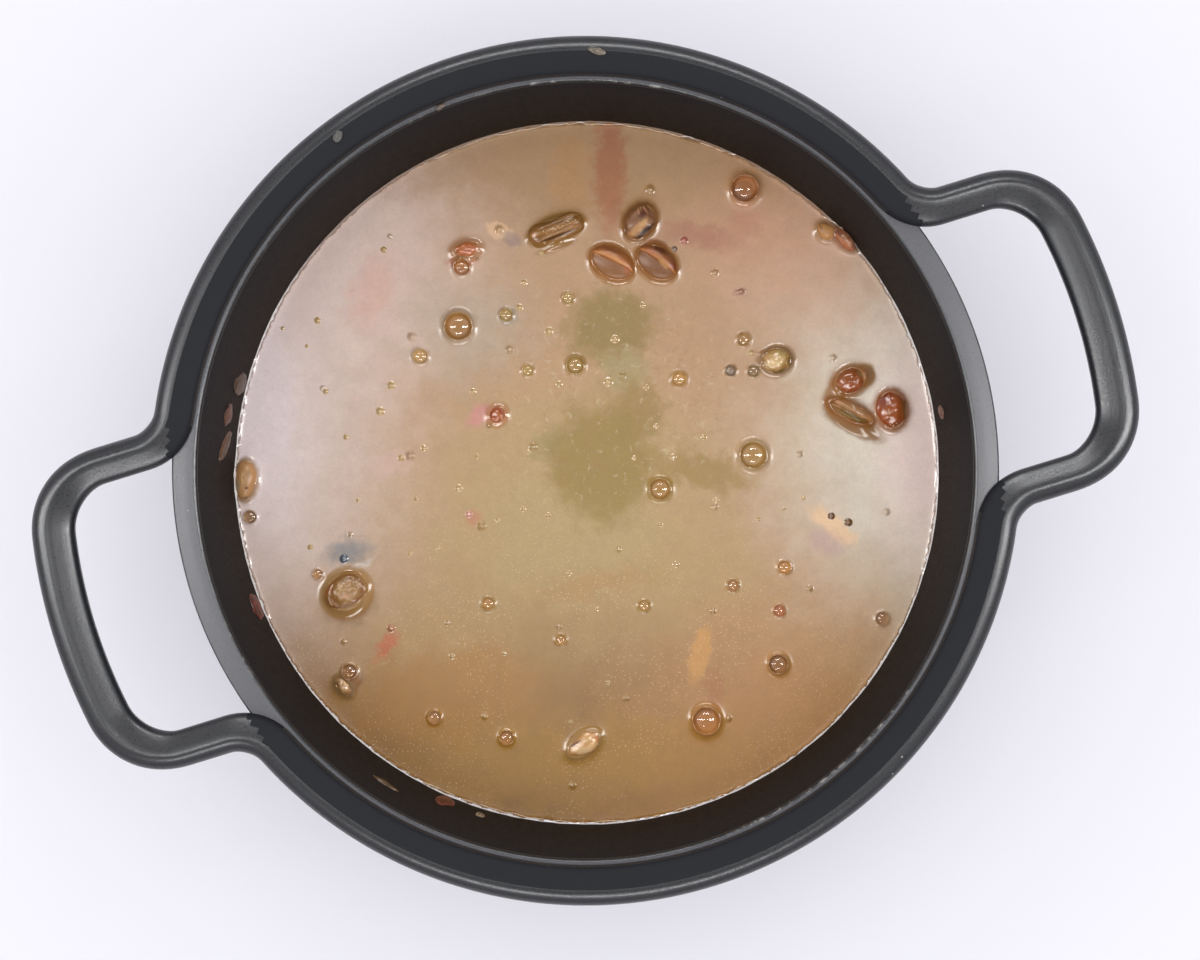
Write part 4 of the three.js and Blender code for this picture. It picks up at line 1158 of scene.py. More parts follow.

# Touches of colour on the pieces, along the view's axes from each middle: x, y, length, width, turn, colour
# and strength. Millimetres and degrees. Some are painted highlights, glints, a reflection and shade, as
# marked below.
TOUCHES = {
    "bean_upper": (
        (-3.4, 1.5, 5, 8, 0, "#8a5c3c", 0.6), (4.2, 2, 4, 5, 0, "#94684e", 0.6),
        (0.8, 2.6, 3, 4.6, -50, "#5c2e20", 0.8),
        (1.9, -3.9, 10, 1.7, 42, "#33261f", 0.95), (-0.8, -2.7, 10.6, 3.2, 42, "#be8850", 1),
        # Painted glints: the two touches in #cc9070.
        (1.5, -0.7, 3.6, 2, 41, "#dba96e", 0.7), (-0.6, 3.8, 0.9, 3, 10, "#cc9070", 0.7),
        (2.3, 4.2, 3.4, 0.9, -55, "#cc9070", 0.7)),
    "bean_left": (
        # Painted highlight: the pale streak along the ridge, in #d49459.
        (5.8, -3, 3, 3.4, -50, "#a7572c", 0.7), (1.6, 1.5, 5, 1.1, -35, "#d49459", 0.85),
        (-5.5, 3.4, 3.4, 1.2, -5, "#bf7e44", 0.7), (0, 4.6, 9, 1.8, -20, "#7f4724", 0.6)),
    "bean_right": (
        (1.2, 5, 8, 2.6, -40, "#562b19", 0.75), (-2.7, 4.1, 5.5, 2, -30, "#ae5b2c", 0.75),
        (2.6, -0.9, 6, 1.7, -45, "#be884d", 0.8), (6.6, -1.5, 4.4, 3, -60, "#833e24", 0.75)),
    "mushroom_stem": (
        (-0.5, 4.2, 18, 1.3, 20, "#663c1c", 0.7), (0, -3, 17, 1.2, 20, "#543519", 0.85),
        # Painted highlight along the middle: the light band and the pale line in #e1b585.
        (0, 0.2, 18, 2.4, 20, "#b9844c", 0.75), (5.6, 2.6, 5, 3.6, 20, "#bb7c4c", 0.65),
        (-8.8, -2.4, 3, 3.6, 20, "#b47c48", 0.65), (-1, 0, 8, 0.9, 20, "#e1b585", 0.6)),
    "mushroom_cap": (
        (-7, 0.8, 3.6, 8, -20, "#9f5e31", 0.6), (3, 6, 12, 3, 15, "#774b20", 0.5),
        (-2, -6.5, 12, 4, 0, "#885c32", 0.5),
        (0.4, -1.6, 3, 2.4, 0, "#d29672", 0.6), (-1, 1.5, 4, 3, 30, "#c49c6c", 0.5)),
    "mushroom_chunk": (
        (-6, 2.8, 3.4, 4.4, 0, "#86643c", 0.7), (2.2, 3.2, 5, 3.6, 20, "#bba268", 0.7),
        (-0.4, -0.6, 8, 4.8, 25, "#e0c08c", 0.8), (1.5, -4.2, 9, 1.4, 15, "#6a562c", 0.8),
        (5.2, 0, 1.5, 6.4, -8, "#7c6636", 0.7), (-4.2, -1.4, 3, 2, 0, "#e2c8a4", 0.6)),
    "mushroom_slice": (
        (1, -3, 16, 3.6, -25, "#857036", 0.8), (-8.5, 3, 2.4, 5, 0, "#6a4c2c", 0.7),
        # Painted shade in the crease, in #6a4e26.
        (0.8, 1, 15, 3, -25, "#b98c62", 0.85), (-1, -0.9, 15, 1.1, -28, "#6a4e26", 0.75),
        # Painted highlights on the upper lobe: both touches below.
        (0.9, 1.7, 1.1, 3, 15, "#e6ccaa", 0.85), (4.3, 1.1, 1.8, 1.2, 0, "#e0a070", 0.75)),
    "tomato_lobe": (
        (0.8, -2.2, 10, 6, 10, "#a35731", 0.8), (2.8, -2, 2.4, 1.6, 0, "#b6673e", 0.7),
        # A painted glint on the olive dome, in #b4976b.
        (5, 3.4, 5.6, 6, 0, "#846941", 0.8), (4.8, 2.6, 1, 3.4, 20, "#b4976b", 0.6),
        (-5, 2.5, 5, 4, 0, "#8b5f37", 0.6)),
    "tomato_round": (
        (-3, 4, 7, 7, 0, "#80351b", 0.8), (-0.3, 0.4, 6, 7.4, 0, "#a75527", 0.75),
        (5.2, 0, 3.6, 12, 5, "#7c5327", 0.8),
        # A painted glint, in #d8a47a.
        (-1.6, -0.9, 0.9, 2.7, 0, "#d8a47a", 0.9), (0.8, 0.7, 1.2, 1.2, 0, "#ca6e3d", 0.8),
        (0.2, -6, 4, 3, 0, "#975234", 0.7)),
    "tomato_shred": ((1.2, -0.4, 8, 4, 0, "#be6e46", 0.8), (4.4, -1.4, 3, 3, 0, "#d09468", 0.5)),
    "tomato_at_wall": ((-2.6, 1.8, 1.2, 7, 40, "#4a2c20", 0.6), (1.6, 1.4, 7, 1.2, -48, "#cc9474", 0.8),
                       (3.4, -3.2, 2.4, 2.4, 0, "#d08e74", 0.7)),
    # Both touches on the crumb are painted glints.
    "tomato_crumb": ((-0.6, 0.2, 2.4, 0.7, -40, "#d19b76", 0.7), (1.8, -0.9, 0.8, 2.8, 0, "#d8ac8d", 0.8)),
    "seed_at_wall": ((1.4, 0, 3, 6, 30, "#d29a62", 0.6), (-2.2, 0.8, 1, 4, 25, "#845632", 0.7)),
    "bean_at_wall": (
        # A painted reflection, in #a8a084, low on one side and a painted highlight down the middle, in
        # #deb680.
        (-2.6, -2.2, 2.4, 6, -8, "#a8a084", 0.6), (-0.4, 0.5, 1.3, 6.4, -3, "#deb680", 0.75),
        # Painted shade along the lower end, in #5a4838.
        (1, -3, 1.1, 1.3, 0, "#64160f", 1), (1.2, -7, 5, 1.6, 0, "#5a4838", 0.7),
        (1.6, 2.4, 2, 4, 0, "#a57c4a", 0.5)),
    "chicken_shred": (
        (0, -2, 6.4, 3.4, 25, "#f0c997", 0.9), (4.2, 0.4, 4, 3, 40, "#f2c68d", 0.8),
        (5.2, 2.4, 3, 2.2, 60, "#d5833c", 0.75),
        (-3.4, 0.5, 6.6, 1.1, 35, "#6a422c", 0.9), (-4.8, 1.5, 6, 2, 35, "#a8928d", 0.9)),
    "chicken_flake": ((-2.4, 1, 2.6, 3.4, 0, "#6f5430", 0.7), (-0.6, 2.4, 1.6, 3, -10, "#e5c3a0", 0.8)),
}

# Beads of fat on the pieces, along the view's axes from each middle: x, y and radius in millimetres.
BEADS = {
    "mushroom_stem": (
        (-4.8, -1.2, 0.5), (-4.1, -1.5, 0.35), (-3.4, -0.7, 0.45), (-2.7, -1.2, 0.4), (-2, -0.4, 0.5),
        (-1.2, -0.7, 0.35),
        (-0.3, 0.3, 0.55), (0.6, 0.1, 0.35), (1.5, 0.8, 0.45), (2.7, 1.2, 0.4), (3.6, 2.1, 0.5),
        (4.4, 1.5, 0.45),
        (4.7, 2.7, 0.6), (5.5, 3.4, 0.5), (5.7, 2.2, 0.55), (6.5, 3.0, 0.6), (6.7, 3.9, 0.45),
        (7.6, 3.3, 0.5),
        (7.3, 2.3, 0.4), (-4.6, -5.4, 0.7), (-3.6, -6.2, 0.4)),
    "mushroom_cap": (
        (5.4, 5, 0.7), (-5.6, -4.1, 0.6), (-5.2, -4.8, 0.45), (-6.2, -0.9, 0.45), (2.6, 5.6, 0.4),
        (6.4, 4.2, 0.4)),
    "mushroom_chunk": ((-5.2, -2.2, 0.7), (-4.4, -2.8, 0.5), (-5.8, -1.4, 0.5), (4.6, -2.6, 0.4),
        (-3.2, -3, 0.4)),
    "tomato_round": ((0.6, -6.2, 0.5), (-0.6, -5.8, 0.45), (1.6, -5.2, 0.4), (0, -7, 0.5),
        (-1.4, -6.6, 0.35)),
    "tomato_shred": (
        (-2.2, -3.2, 0.5), (-1, -3.4, 0.4), (0, -3.3, 0.35), (0.9, -3.3, 0.35), (1.9, -3.4, 0.4),
        (3.1, -3.3, 0.4),
        (4.2, -3.7, 0.65), (-3.1, -4.6, 0.5)),
    "tomato_crumb": ((-3.3, -4.1, 0.9), (-2.2, -3.4, 0.4)),
    "chicken_flake": ((-2.7, 0.1, 0.6), (-1.2, 2, 0.4), (-1.8, 1.4, 0.35), (0.4, 4.2, 0.4),
        (1.2, 4.6, 0.45), (3, 4.4, 0.5)),
    "chicken_shred": ((-5.6, 2.6, 0.4), (-4.6, 3.2, 0.35), (5.6, 0.2, 0.4)),
    "bean_upper": ((0.2, 5.2, 0.4), (1.4, 5.6, 0.35)),
    "bean_at_wall": ((0.2, 1, 0.4),),
}


def ramp(tone, stops):
    """Colours along a list of stops, mixed in linear light."""
    where = [place for place, _ in stops]
    colours = np.array([linear(colour) for _, colour in stops])
    return np.stack([np.interp(tone, where, colours[:, i]) for i in range(4)], 1)


def lumpy(points, depth, pitch, seed):
    """Pushes a unit form in and out along its own radius."""
    coarse, fine = ripple(points, pitch, seed), ripple(points, pitch / 2.4, seed + 1)
    return points * (1 + depth * coarse + 0.45 * depth * fine)[:, None]


def split_form(points, seed):
    """Half a bean on its side: a rounded back, a ridge painted bright as its highlight, and a dished face
    that slopes into broth.
    """
    shape = lumpy(points, 0.03, 1.4, seed)
    reach = np.sqrt(np.clip(1 - shape[:, 0] ** 2, 1e-4, 1))
    across = np.clip(shape[:, 1] / reach, -1, 1)
    back = np.sqrt(np.clip(1 - ((across - 0.28) / 0.72) ** 2, 0, 1))
    slope = np.clip((0.28 - across) / 1.28, 0, 1)
    face = 1 - 0.2 * smoothstep(slope, 0, 0.22) - 0.26 * slope ** 1.5
    crest = np.where(across > 0.28, back, face * np.sqrt(np.clip(1 - slope ** 5, 0, 1))) * reach ** 0.7
    up = shape[:, 2] > 0
    ball = np.maximum(np.sqrt(np.clip(1 - shape[:, 0] ** 2 - shape[:, 1] ** 2, 1e-4, 1)), 0.2)
    shape[:, 2] = np.where(up, np.minimum(crest, crest * (shape[:, 2] / ball).clip(0, 1)), shape[:, 2])
    # The ridge's tone is raised as a painted highlight.
    tone = np.where(across > 0.28, 0.5 - 0.5 * smoothstep(across, 0.3, 0.62),
                    0.5 + 0.5 * smoothstep(slope, 0.05, 0.3))
    return shape, np.where(up, tone, 0.1) + 0.05 * ripple(shape, 0.5, seed + 2)


def bean_form(points, seed):
    """A whole bean, a little bent and fuller at one end."""
    shape = lumpy(points, 0.05, 1.3, seed)
    shape[:, 1] *= 1 + 0.14 * shape[:, 0]
    shape[:, 1] += 0.14 * (shape[:, 0] ** 2 - 0.4)
    return shape, 0.55 + 0.3 * shape[:, 2] + 0.25 * ripple(shape, 0.5, seed + 2)


def stem_form(points, seed):
    """A cut length of stem: a rod with blunt ends and uneven ridges along it."""
    turned = points[:, [2, 0, 1]]
    along = np.sign(turned[:, 0]) * np.abs(turned[:, 0]) ** 0.8
    around = np.arctan2(turned[:, 2], turned[:, 1])
    girth = np.clip(1 - np.abs(along) ** 7, 0, 1) ** 0.4
    girth = girth * (1 + 0.04 * np.cos(7 * around + seed + 2 * along) + 0.09 * ripple(turned, 0.8, seed))
    shape = np.stack([along, girth * np.cos(around), girth * np.sin(around)], 1)
    shape[np.hypot(turned[:, 1], turned[:, 2]) < 1e-6, 1:] = 0
    return shape, 0.45 + 0.45 * ripple(shape * np.array([0.5, 1, 1]), 0.35, seed + 3)


def cap_form(points, seed):
    """A cap floating gills up: a shallow dish round the torn, spongy foot of its stem."""
    shape = lumpy(points, 0.07, 1.1, seed)
    share = np.hypot(shape[:, 0] / 0.9, shape[:, 1] / 0.9)
    floor = 0.84 - 0.24 * np.sqrt(np.clip(1 - share ** 2, 0, 1)) + 0.05 * ripple(shape, 0.5, seed + 8)
    depth = np.where((shape[:, 2] > floor) & (share < 1), shape[:, 2] - floor, 0)
    shape[:, 2] -= depth
    foot = np.hypot((shape[:, 0] - 0.1) / 0.7, (shape[:, 1] - 0.06) / 0.72)
    foot = foot + 0.16 * ripple(shape, 0.5, seed + 9)
    lumps = ripple(shape, 0.16, seed + 4) + 0.6 * ripple(shape, 0.08, seed + 6)
    rise = smoothstep(1 - foot, 0.0, 0.45) * (shape[:, 2] > 0)
    shape[:, 2] += rise * (0.24 + 0.06 * lumps)
    tone = 0.42 + 0.1 * lumps
    return shape, tone + rise * (0.4 + 0.18 * lumps)


def slice_form(points, seed):
    """A slice folded along its length: one long lobe leaning on another, with a crease between that is
    painted deeper as shade.
    """
    shape = lumpy(points, 0.09, 0.9, seed)
    crease = np.exp(-((shape[:, 1] + 0.1 + 0.2 * np.sin(2.2 * shape[:, 0])) / 0.16) ** 2)
    shape[:, 2] -= 0.25 * crease * smoothstep(shape[:, 2], 0, 0.5)
    shape[:, 2] -= 0.14 * smoothstep(-shape[:, 1], 0.1, 0.5) * (shape[:, 2] > 0)
    folds = ripple(shape * np.array([1.6, 0.6, 1]), 0.4, seed + 3)
    # Painted shade: the crease is darker.
    return shape, 0.68 + 0.4 * folds - 0.3 * crease - 0.3 * smoothstep(-shape[:, 1], 0.0, 0.6)


def chunk_form(points, seed):
    """A torn, rounded chunk with folds and a paler crown."""
    shape = lumpy(points, 0.13, 1.0, seed)
    folds = ripple(shape, 0.45, seed + 5)
    shape *= (1 + 0.05 * folds)[:, None]
    return shape, 0.3 + 0.5 * smoothstep(shape[:, 2], 0.1, 0.95) + 0.3 * folds


FORMS = {"split": split_form, "keeled": chunk_form, "bean": bean_form, "stem": stem_form,
         "cap": cap_form, "slice": slice_form, "chunk": chunk_form}


def view_offsets(points, middle):
    """Offsets from a middle along the view's axes, in millimetres."""
    dx, dy = points[:, 0] - middle[0], points[:, 1] - middle[1]
    cos, sin = math.cos(VIEW_TURN), math.sin(VIEW_TURN)
    return dx * cos - dy * sin, dx * sin + dy * cos


def part_place(x, y, middle):
    """The part's x and y of an offset along the view's axes from a middle."""
    cos, sin = math.cos(VIEW_TURN), math.sin(VIEW_TURN)
    return middle[0] + x * cos + y * sin, middle[1] - x * sin + y * cos


def food_piece(name, level):
    """One floating piece: a ball shaped by its form, then sized, turned and floated at its place."""
    kind, size, _, turn, lift = PIECES[name]
    seed = 1 + list(PIECES).index(name)
    deselect()
    bpy.ops.mesh.primitive_ico_sphere_add(subdivisions=PIECE_CUTS, radius=MM, location=(0, 0, 0))
    item = bpy.context.object
    shape, tone = FORMS[kind](read_points(item), seed)
    low, high = shape.min(0), shape.max(0)
    shape = (shape - (low + high) / 2) / (high - low) * np.array(size)
    cos, sin = math.cos(math.radians(turn)), math.sin(math.radians(turn))
    middle = piece_middle(name)
    placed = np.stack([shape[:, 0] * cos - shape[:, 1] * sin + middle[0],
                       shape[:, 0] * sin + shape[:, 1] * cos + middle[1], shape[:, 2] + level + lift], 1)
    write_points(item, placed)
    colours = ramp(np.clip(tone, 0, 1), LOOKS[name])
    dx, dy = view_offsets(placed, middle)
    wander = 0.25 * ripple(placed, 1.1, seed + 7)
    for x, y, length, width, angle, tint, strength in TOUCHES.get(name, ()):
        along, across = along_across(dx - x, dy - y, angle)
        far = np.hypot(along / (length / 2), across / (width / 2)) + wander
        share = (strength * smoothstep(1.25 - far, 0, 0.8) * (placed[:, 2] > level))[:, None]
        colours = colours * (1 - share) + np.array(linear(tint)) * share
    # Towards the broth each piece takes on its film's colour.
    film = (1 - smoothstep(placed[:, 2] - level, 1.0, 2.2))[:, None] * 0.8
    colours = colours * (1 - film) + np.array(linear(HALOS[name][0])) * film
    write_attribute(item, "tint", colours, "FLOAT_COLOR")
    activate(item)
    bpy.ops.object.shade_smooth()
    return item


def fat_beads(level):
    """Beads of fat that sit on the pieces and catch the light."""
    deselect()
    bpy.ops.mesh.primitive_uv_sphere_add(segments=10, ring_count=7, radius=MM, location=(0, 0, 0))
    pattern = bpy.context.object
    deselect()
    graph = bpy.context.evaluated_depsgraph_get()
    places = []
    for name, beads in BEADS.items():
        piece = bpy.data.objects[name + "_look"].evaluated_get(graph)
        broth = bpy.data.objects["broth_body"].evaluated_get(graph)
        for dx, dy, radius in beads:
            spot = part_place(dx, dy, piece_middle(name))
            start = Vector((spot[0], spot[1], level + RAY_START)) * MM
            hits = [body.ray_cast(start, Vector((0, 0, -1))) for body in (piece, broth)]
            tops = [hit[1].z / MM for hit in hits if hit[0]]
            places.append((spot, radius, max(tops) - level + 0.1 * radius, "#b08a5e"))
    return copies(pattern, places, level)


def wet_material(name, pitch, depth, gloss, flesh=0.0, level=0.5):
    """Boiled food under a film of broth: its own colours, a fine texture and a wet gloss."""
    material, tree, shader = new_material(
        name, IOR=1.42, Specular_IOR_Level=level, Subsurface_Weight=flesh, Subsurface_Scale=0.001,
        Subsurface_Radius=(1.0, 0.6, 0.35))
    place = add_node(tree, "TexCoord").outputs["Object"]
    tint = add_node(tree, "Attribute", attribute_name="tint").outputs["Color"]
    fibre = add_node(tree, "TexNoise", {"Vector": place, "Scale": 1 / (pitch * MM), "Detail": 4.0,
                                        "Roughness": 0.6}).outputs[0]
    light = add_node(tree, "MapRange", {"Value": fibre, "From Min": 0.3, "From Max": 0.7,
                                        "To Min": 0.86, "To Max": 1.14}).outputs[0]
    colour = add_node(tree, "VectorMath", {0: tint, "Scale": light}, operation="SCALE").outputs[0]
    tree.links.new(colour, shader.inputs["Base Color"])
    rough = add_node(tree, "MapRange", {"Value": fibre, "To Min": gloss * 0.7,
                                        "To Max": gloss * 1.3}).outputs[0]
    tree.links.new(rough, shader.inputs["Roughness"])
    bump = add_node(tree, "Bump", {"Strength": 0.5, "Distance": depth * MM, "Height": fibre})
    tree.links.new(bump.outputs[0], shader.inputs["Normal"])
    return material


def float_pieces(context, prefix, material, slot):
    """Builds every piece whose name starts with the prefix."""
    for name in PIECES:
        if name.startswith(prefix):
            item = food_piece(name, context.scene.rice_broth.level / MM)
            finish_piece(item, name + "_look", material, slot, name)


class POT_OT_beans(bpy.types.Operator):
    """Floats the halved beans, the whole one and the seed at the wall"""

    bl_idname = "pot.beans"
    bl_label = "Beans"

    def execute(self, context):
        # Boiled bean: smooth skin, its flesh grained at about 0.6 mm.
        material = wet_material("boiled_bean", 0.6, 0.06, 0.34, level=0.3)
        float_pieces(context, "bean", material, "bean")
        float_pieces(context, "seed", material, "bean")
        return {"FINISHED"}


class POT_OT_mushroom(bpy.types.Operator):
    """Floats the mushroom's stem, cap, chunk and slice"""

    bl_idname = "pot.mushroom"
    bl_label = "Mushroom"

    def execute(self, context):
        # Stewed mushroom: slippery and slightly see-through, its fibres about 0.7 mm apart.
        material = wet_material("stewed_mushroom", 0.7, 0.14, 0.18, 0.15, level=0.4)
        float_pieces(context, "mushroom", material, "mushroom")
        return {"FINISHED"}


class POT_OT_tomato(bpy.types.Operator):
    """Floats the pieces of tomato"""

    bl_idname = "pot.tomato"
    bl_label = "Tomato"

    def execute(self, context):
        # Stewed tomato: soft flesh, grained at 0.9 mm, under a shiny film.
        float_pieces(context, "tomato", wet_material("stewed_tomato", 0.9, 0.1, 0.16, 0.1), "tomato")
        return {"FINISHED"}


class POT_OT_chicken(bpy.types.Operator):
    """Floats the shreds of chicken"""

    bl_idname = "pot.chicken"
    bl_label = "Chicken"

    def execute(self, context):
        # Poached chicken: pale fibres about 0.5 mm apart.
        float_pieces(context, "chicken", wet_material("poached_chicken", 0.5, 0.1, 0.16, 0.15), "chicken")
        return {"FINISHED"}


class POT_OT_beads(bpy.types.Operator):
    """Sets the beads of fat on the floating pieces"""

    bl_idname = "pot.beads"
    bl_label = "Beads of fat"

    def execute(self, context):
        item = fat_beads(context.scene.rice_broth.level / MM)
        activate(item)
        bpy.ops.object.shade_smooth()
        finish_piece(item, "fat_beads", bpy.data.materials["fat_droplet"], "broth")
        return {"FINISHED"}


# Scraps of food dried on the wall: bearing, height, length, width, lean and colours.
WALL_SCRAPS = [
    (148.6, 77.5, 17, 9.6, 0, ("#3c281c", "#5c4232")),
    (153.8, 85.5, 10.5, 9, -8, ("#42241a", "#6c4030")),
    (158.9, 85, 20, 7, -39, ("#463020", "#74503a")),
    (185, 75.5, 14, 11, 0, ("#3c1410", "#7a2c20")),
    (229.5, 77.5, 18, 8.5, 10, ("#4a1e14", "#7e4030")),
    (220.1, 98, 3.4, 12, 0, ("#4a3620", "#6e5230")),
    (352.2, 81.4, 6.5, 5.6, 0, ("#5a3a30", "#96705e")),
    (235.6, 80, 4, 4, 0, ("#6a5440", "#a08a6a")),
]
SCRAP_THICKNESS = 2.2

# Crumbs on the rim, in millimetres: how thick they are, how high above the flange they rest on the bead and
# on the flange, how far out the bead starts, and the height below the bead's crest that none of them passes.
CRUMB_THICKNESS = 1.5
CRUMB_ON_BEAD = 5.6
CRUMB_ON_FLANGE = 0.2
BEAD_START = 145
HIGHEST = 127.9

# Their bearing, distance, length, width, turn and colours.
RIM_CRUMBS = [
    (71.2, 149.6, 7, 3, -18, ("#4a4034", "#7e705c")),
    (109.4, 148, 4.6, 3.4, 30, ("#34322e", "#54504a")),
    (94.5, 140.6, 4.2, 2, 10, ("#3c3026", "#6a5240")),
]


def flake(seed):
    """A thin torn flake about the origin, 2 across, with its tone."""
    deselect()
    bpy.ops.mesh.primitive_ico_sphere_add(subdivisions=4, radius=MM, location=(0, 0, 0))
    item = bpy.context.object
    shape = lumpy(read_points(item), 0.22, 0.9, seed)
    folds = ripple(shape, 0.35, seed + 2)
    shape *= (1 + 0.08 * folds)[:, None]
    return item, shape / np.abs(shape).max(0), np.clip(0.5 + 1.3 * folds, 0, 1)


class POT_OT_scraps(bpy.types.Operator):
    """Sticks the dried scraps on the inner wall and the crumbs on the rim"""

    bl_idname = "pot.scraps"
    bl_label = "Scraps and crumbs"

    def execute(self, context):
        pot = context.scene.rice_pot
        # Food dried on hot metal: matte at its edges, still a little shiny, with a 0.7 mm crust.
        material = wet_material("dried_food", 0.7, 0.2, 0.4)
        made = []
        for i, (bearing, height, length, width, lean, colours) in enumerate(WALL_SCRAPS):
            item, shape, tone = flake(20 + i)
            shape = shape * np.array([SCRAP_THICKNESS, width, length]) / 2
            shape = np.stack([shape[:, 0], *along_across(shape[:, 1], shape[:, 2], -lean)], 1)
            out = shape[:, 0] + inner_radius(pot, height) + shape[:, 2] * math.tan(WALL_TAPER)
            angle = math.radians(bearing) + shape[:, 1] / inner_radius(pot, height)
            write_points(item, np.stack([out * np.cos(angle), out * np.sin(angle), shape[:, 2] + height], 1))
            write_attribute(item, "tint", ramp(tone, ((0, colours[0]), (1, colours[1]))), "FLOAT_COLOR")
            made.append(item)
        for i, (bearing, distance, length, width, turn, colours) in enumerate(RIM_CRUMBS):
            item, shape, tone = flake(40 + i)
            shape = shape * np.array([length, width, CRUMB_THICKNESS]) / 2
            x, y = polar(distance, bearing)
            angle = math.radians(bearing + 90 + turn)
            rest = pot.rim_height / MM + (CRUMB_ON_BEAD if distance > BEAD_START else CRUMB_ON_FLANGE)
            write_points(item, np.stack([shape[:, 0] * math.cos(angle) - shape[:, 1] * math.sin(angle) + x,
                                         shape[:, 0] * math.sin(angle) + shape[:, 1] * math.cos(angle) + y,
                                         np.minimum(shape[:, 2] + rest, HIGHEST)], 1))
            write_attribute(item, "tint", ramp(tone, ((0, colours[0]), (1, colours[1]))), "FLOAT_COLOR")
            made.append(item)
        activate(*made)
        bpy.ops.object.join()
        item = bpy.context.object
        bpy.ops.object.shade_smooth()
        finish_piece(item, "dried_scraps", material, "pot_coating")
        return {"FINISHED"}


# ---- Stage -------------------------------------------------------------------------------------------

# The camera's place, in metres, and turn; its lens and sensor, in millimetres.
CAMERA_OFFSET = (0.00406, -0.01347)
CAMERA_TURN = (0.69599, 0.22145, -17.19866)
CAMERA_LENS = 54.33
CAMERA_SENSOR = 36

# The floor's width and how far it lies below the pot's base, in metres.
FLOOR_SIZE = 8
FLOOR_DROP = 0.0002

# Light panels along the view's axes, in metres: place, size and share of the panels' brightness.
PANELS = {
    "panel_left": ((-0.72, 0.0, 0.98), (0.22, 0.8), 0.85),
    "panel_right": ((0.72, 0.0, 0.98), (0.22, 0.8), 1.15),
    "panel_back": ((0.0, 0.8, 0.98), (0.8, 0.16), 0.9),
    "panel_front": ((0.0, -0.8, 0.98), (0.8, 0.16), 0.9),
}

# The fill light's height, the right lamp's place and radius, and the height all lights aim at, in metres.
FILL_HEIGHT = 1.2
LAMP_PLACE = (0.143, 0.01, 0.77)
LAMP_RADIUS = 0.02
AIM_HEIGHT = 0.08


def floor_material(stage):
    """Pale matte card, evenly lit."""
    material, tree, shader = new_material("pale_card", Roughness=0.9)
    place = add_node(tree, "TexCoord").outputs["Object"]
    fleck = add_node(tree, "TexNoise", {"Vector": place, "Scale": 900.0, "Detail": 2.0}).outputs[0]
    shade = add_node(tree, "MapRange", {"Value": fleck, "To Min": 0.995, "To Max": 1.005}).outputs[0]
    colour = add_node(tree, "VectorMath", {0: tuple(stage.floor[:3]), "Scale": shade},
                      operation="SCALE").outputs[0]
    tree.links.new(colour, shader.inputs["Base Color"])
    return material


def area_light(name, place, size, power, shape="RECTANGLE"):
    """A panel of light at a place given along the view's axes, facing the pot."""
    deselect()
    x, y = part_place(*place[:2], (0, 0))
    bpy.ops.object.light_add(type="AREA", location=(x, y, place[2]))
    light = bpy.context.object
    light.name = name
    light.data.shape = shape
    light.data.size = size[0]
    light.data.size_y = size[1]
    light.data.energy = power
    aim = Vector((0, 0, AIM_HEIGHT)) - light.location
    light.visible_diffuse = False
    light.rotation_euler = aim.to_track_quat("-Z", "Y").to_euler()
    return light


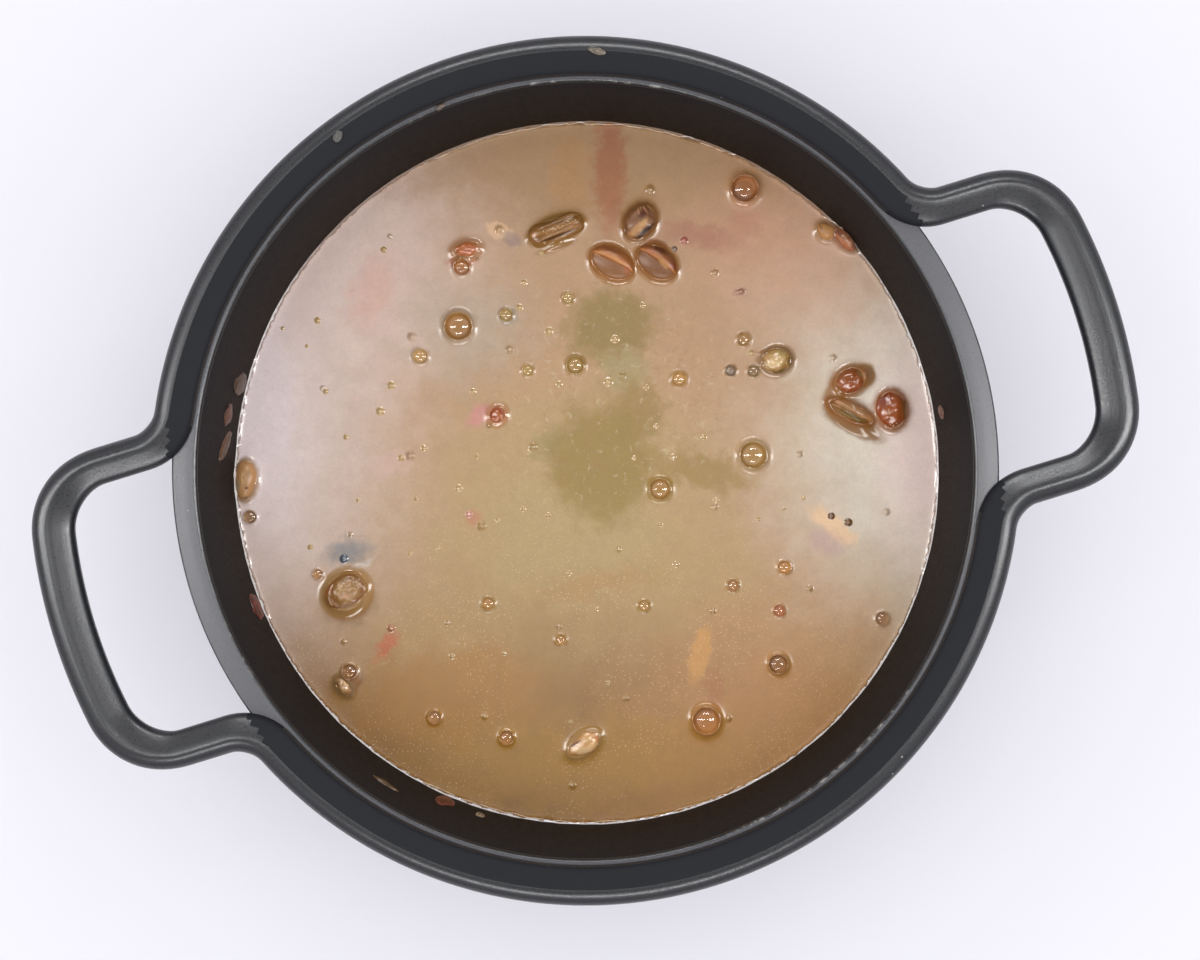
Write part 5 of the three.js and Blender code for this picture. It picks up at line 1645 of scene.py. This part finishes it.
class POT_OT_stage(bpy.types.Operator):
    """Lays the floor, hangs the lights and sets up the camera above the pot"""

    bl_idname = "pot.stage"
    bl_label = "Stage"

    def execute(self, context):
        stage = context.scene.rice_stage
        deselect()
        bpy.ops.mesh.primitive_plane_add(size=FLOOR_SIZE, location=(0, 0, -FLOOR_DROP))
        bpy.ops.object.transform_apply(location=True, rotation=False, scale=False)
        floor = bpy.context.object
        floor.name = "floor"
        floor.data.materials.append(floor_material(stage))
        world = bpy.data.worlds.new("studio")
        context.scene.world = world
        world.use_nodes = True
        tree = world.node_tree
        way = add_node(tree, "TexCoord").outputs["Generated"]
        up = add_node(tree, "SeparateXYZ", {0: way}).outputs[2]
        glow = add_node(tree, "ValToRGB", {0: up}, stops=[
            (0.0, (0.6, 0.6, 0.62, 1)), (0.25, (0.8, 0.8, 0.82, 1)), (0.42, (1.2, 1.19, 1.22, 1)),
            (0.7, (1.2, 1.19, 1.22, 1)), (0.84, (0.45, 0.45, 0.46, 1)), (1.0, (0.15, 0.15, 0.15, 1))])
        tree.links.new(glow.outputs[0], tree.nodes["Background"].inputs["Color"])
        # The sky gives the soft light. The panels and lamps are for the glints alone.
        for name, (place, size, share) in PANELS.items():
            area_light(name, place, size, share * stage.panel_radiance * math.pi * size[0] * size[1])
        # A dim, wide box overhead fills in the soft light. It is kept out of the reflections.
        fill = area_light("fill_above", (0, 0, FILL_HEIGHT), (1, 1), stage.fill_radiance * math.pi)
        fill.visible_diffuse, fill.visible_glossy = True, False
        disc = math.pi * LAMP_RADIUS ** 2
        for name, side in (("lamp_left", -1), ("lamp_right", 1)):
            place = (side * LAMP_PLACE[0], *LAMP_PLACE[1:])
            area_light(name, place, (2 * LAMP_RADIUS, 2 * LAMP_RADIUS),
                       stage.lamp_radiance * math.pi * disc, "DISK")
        bpy.ops.object.camera_add(location=(*CAMERA_OFFSET, stage.camera_height),
                                  rotation=tuple(math.radians(a) for a in CAMERA_TURN))
        camera = bpy.context.object
        camera.name = "camera_above"
        camera.data.sensor_width = CAMERA_SENSOR
        camera.data.lens = CAMERA_LENS
        context.scene.camera = camera
        context.scene.view_settings.view_transform = "Standard"
        return {"FINISHED"}


class POT_PT_panel(bpy.types.Panel):
    """Lists the steps that build the pot of brothy rice"""

    bl_idname = "POT_PT_panel"
    bl_label = "Pot of brothy rice"
    bl_space_type = "VIEW_3D"
    bl_region_type = "UI"
    bl_category = "Pot"

    def draw(self, context):
        for group in (context.scene.rice_pot, context.scene.rice_broth, context.scene.rice_stage):
            box = self.layout.box()
            for name in group.__annotations__:
                box.prop(group, name)
        for operator in OPERATORS:
            self.layout.operator(operator.bl_idname)


OPERATORS = (POT_OT_casting, POT_OT_scraps, POT_OT_broth, POT_OT_bubbles, POT_OT_beans, POT_OT_mushroom,
             POT_OT_tomato, POT_OT_chicken, POT_OT_beads, POT_OT_stage)
CLASSES = (PotSettings, BrothSettings, StageSettings) + OPERATORS + (POT_PT_panel,)


def register():
    """Adds the settings, the operators and the panel."""
    for item in CLASSES:
        bpy.utils.register_class(item)
    bpy.types.Scene.rice_pot = PointerProperty(type=PotSettings)
    bpy.types.Scene.rice_broth = PointerProperty(type=BrothSettings)
    bpy.types.Scene.rice_stage = PointerProperty(type=StageSettings)


def unregister():
    """Takes them away again."""
    del bpy.types.Scene.rice_pot
    del bpy.types.Scene.rice_broth
    del bpy.types.Scene.rice_stage
    for item in reversed(CLASSES):
        bpy.utils.unregister_class(item)


def main():
    """Builds every piece in order."""
    register()
    for operator in OPERATORS:
        group, name = operator.bl_idname.split(".")
        getattr(getattr(bpy.ops, group), name)()


if __name__ == "__main__":
    main()
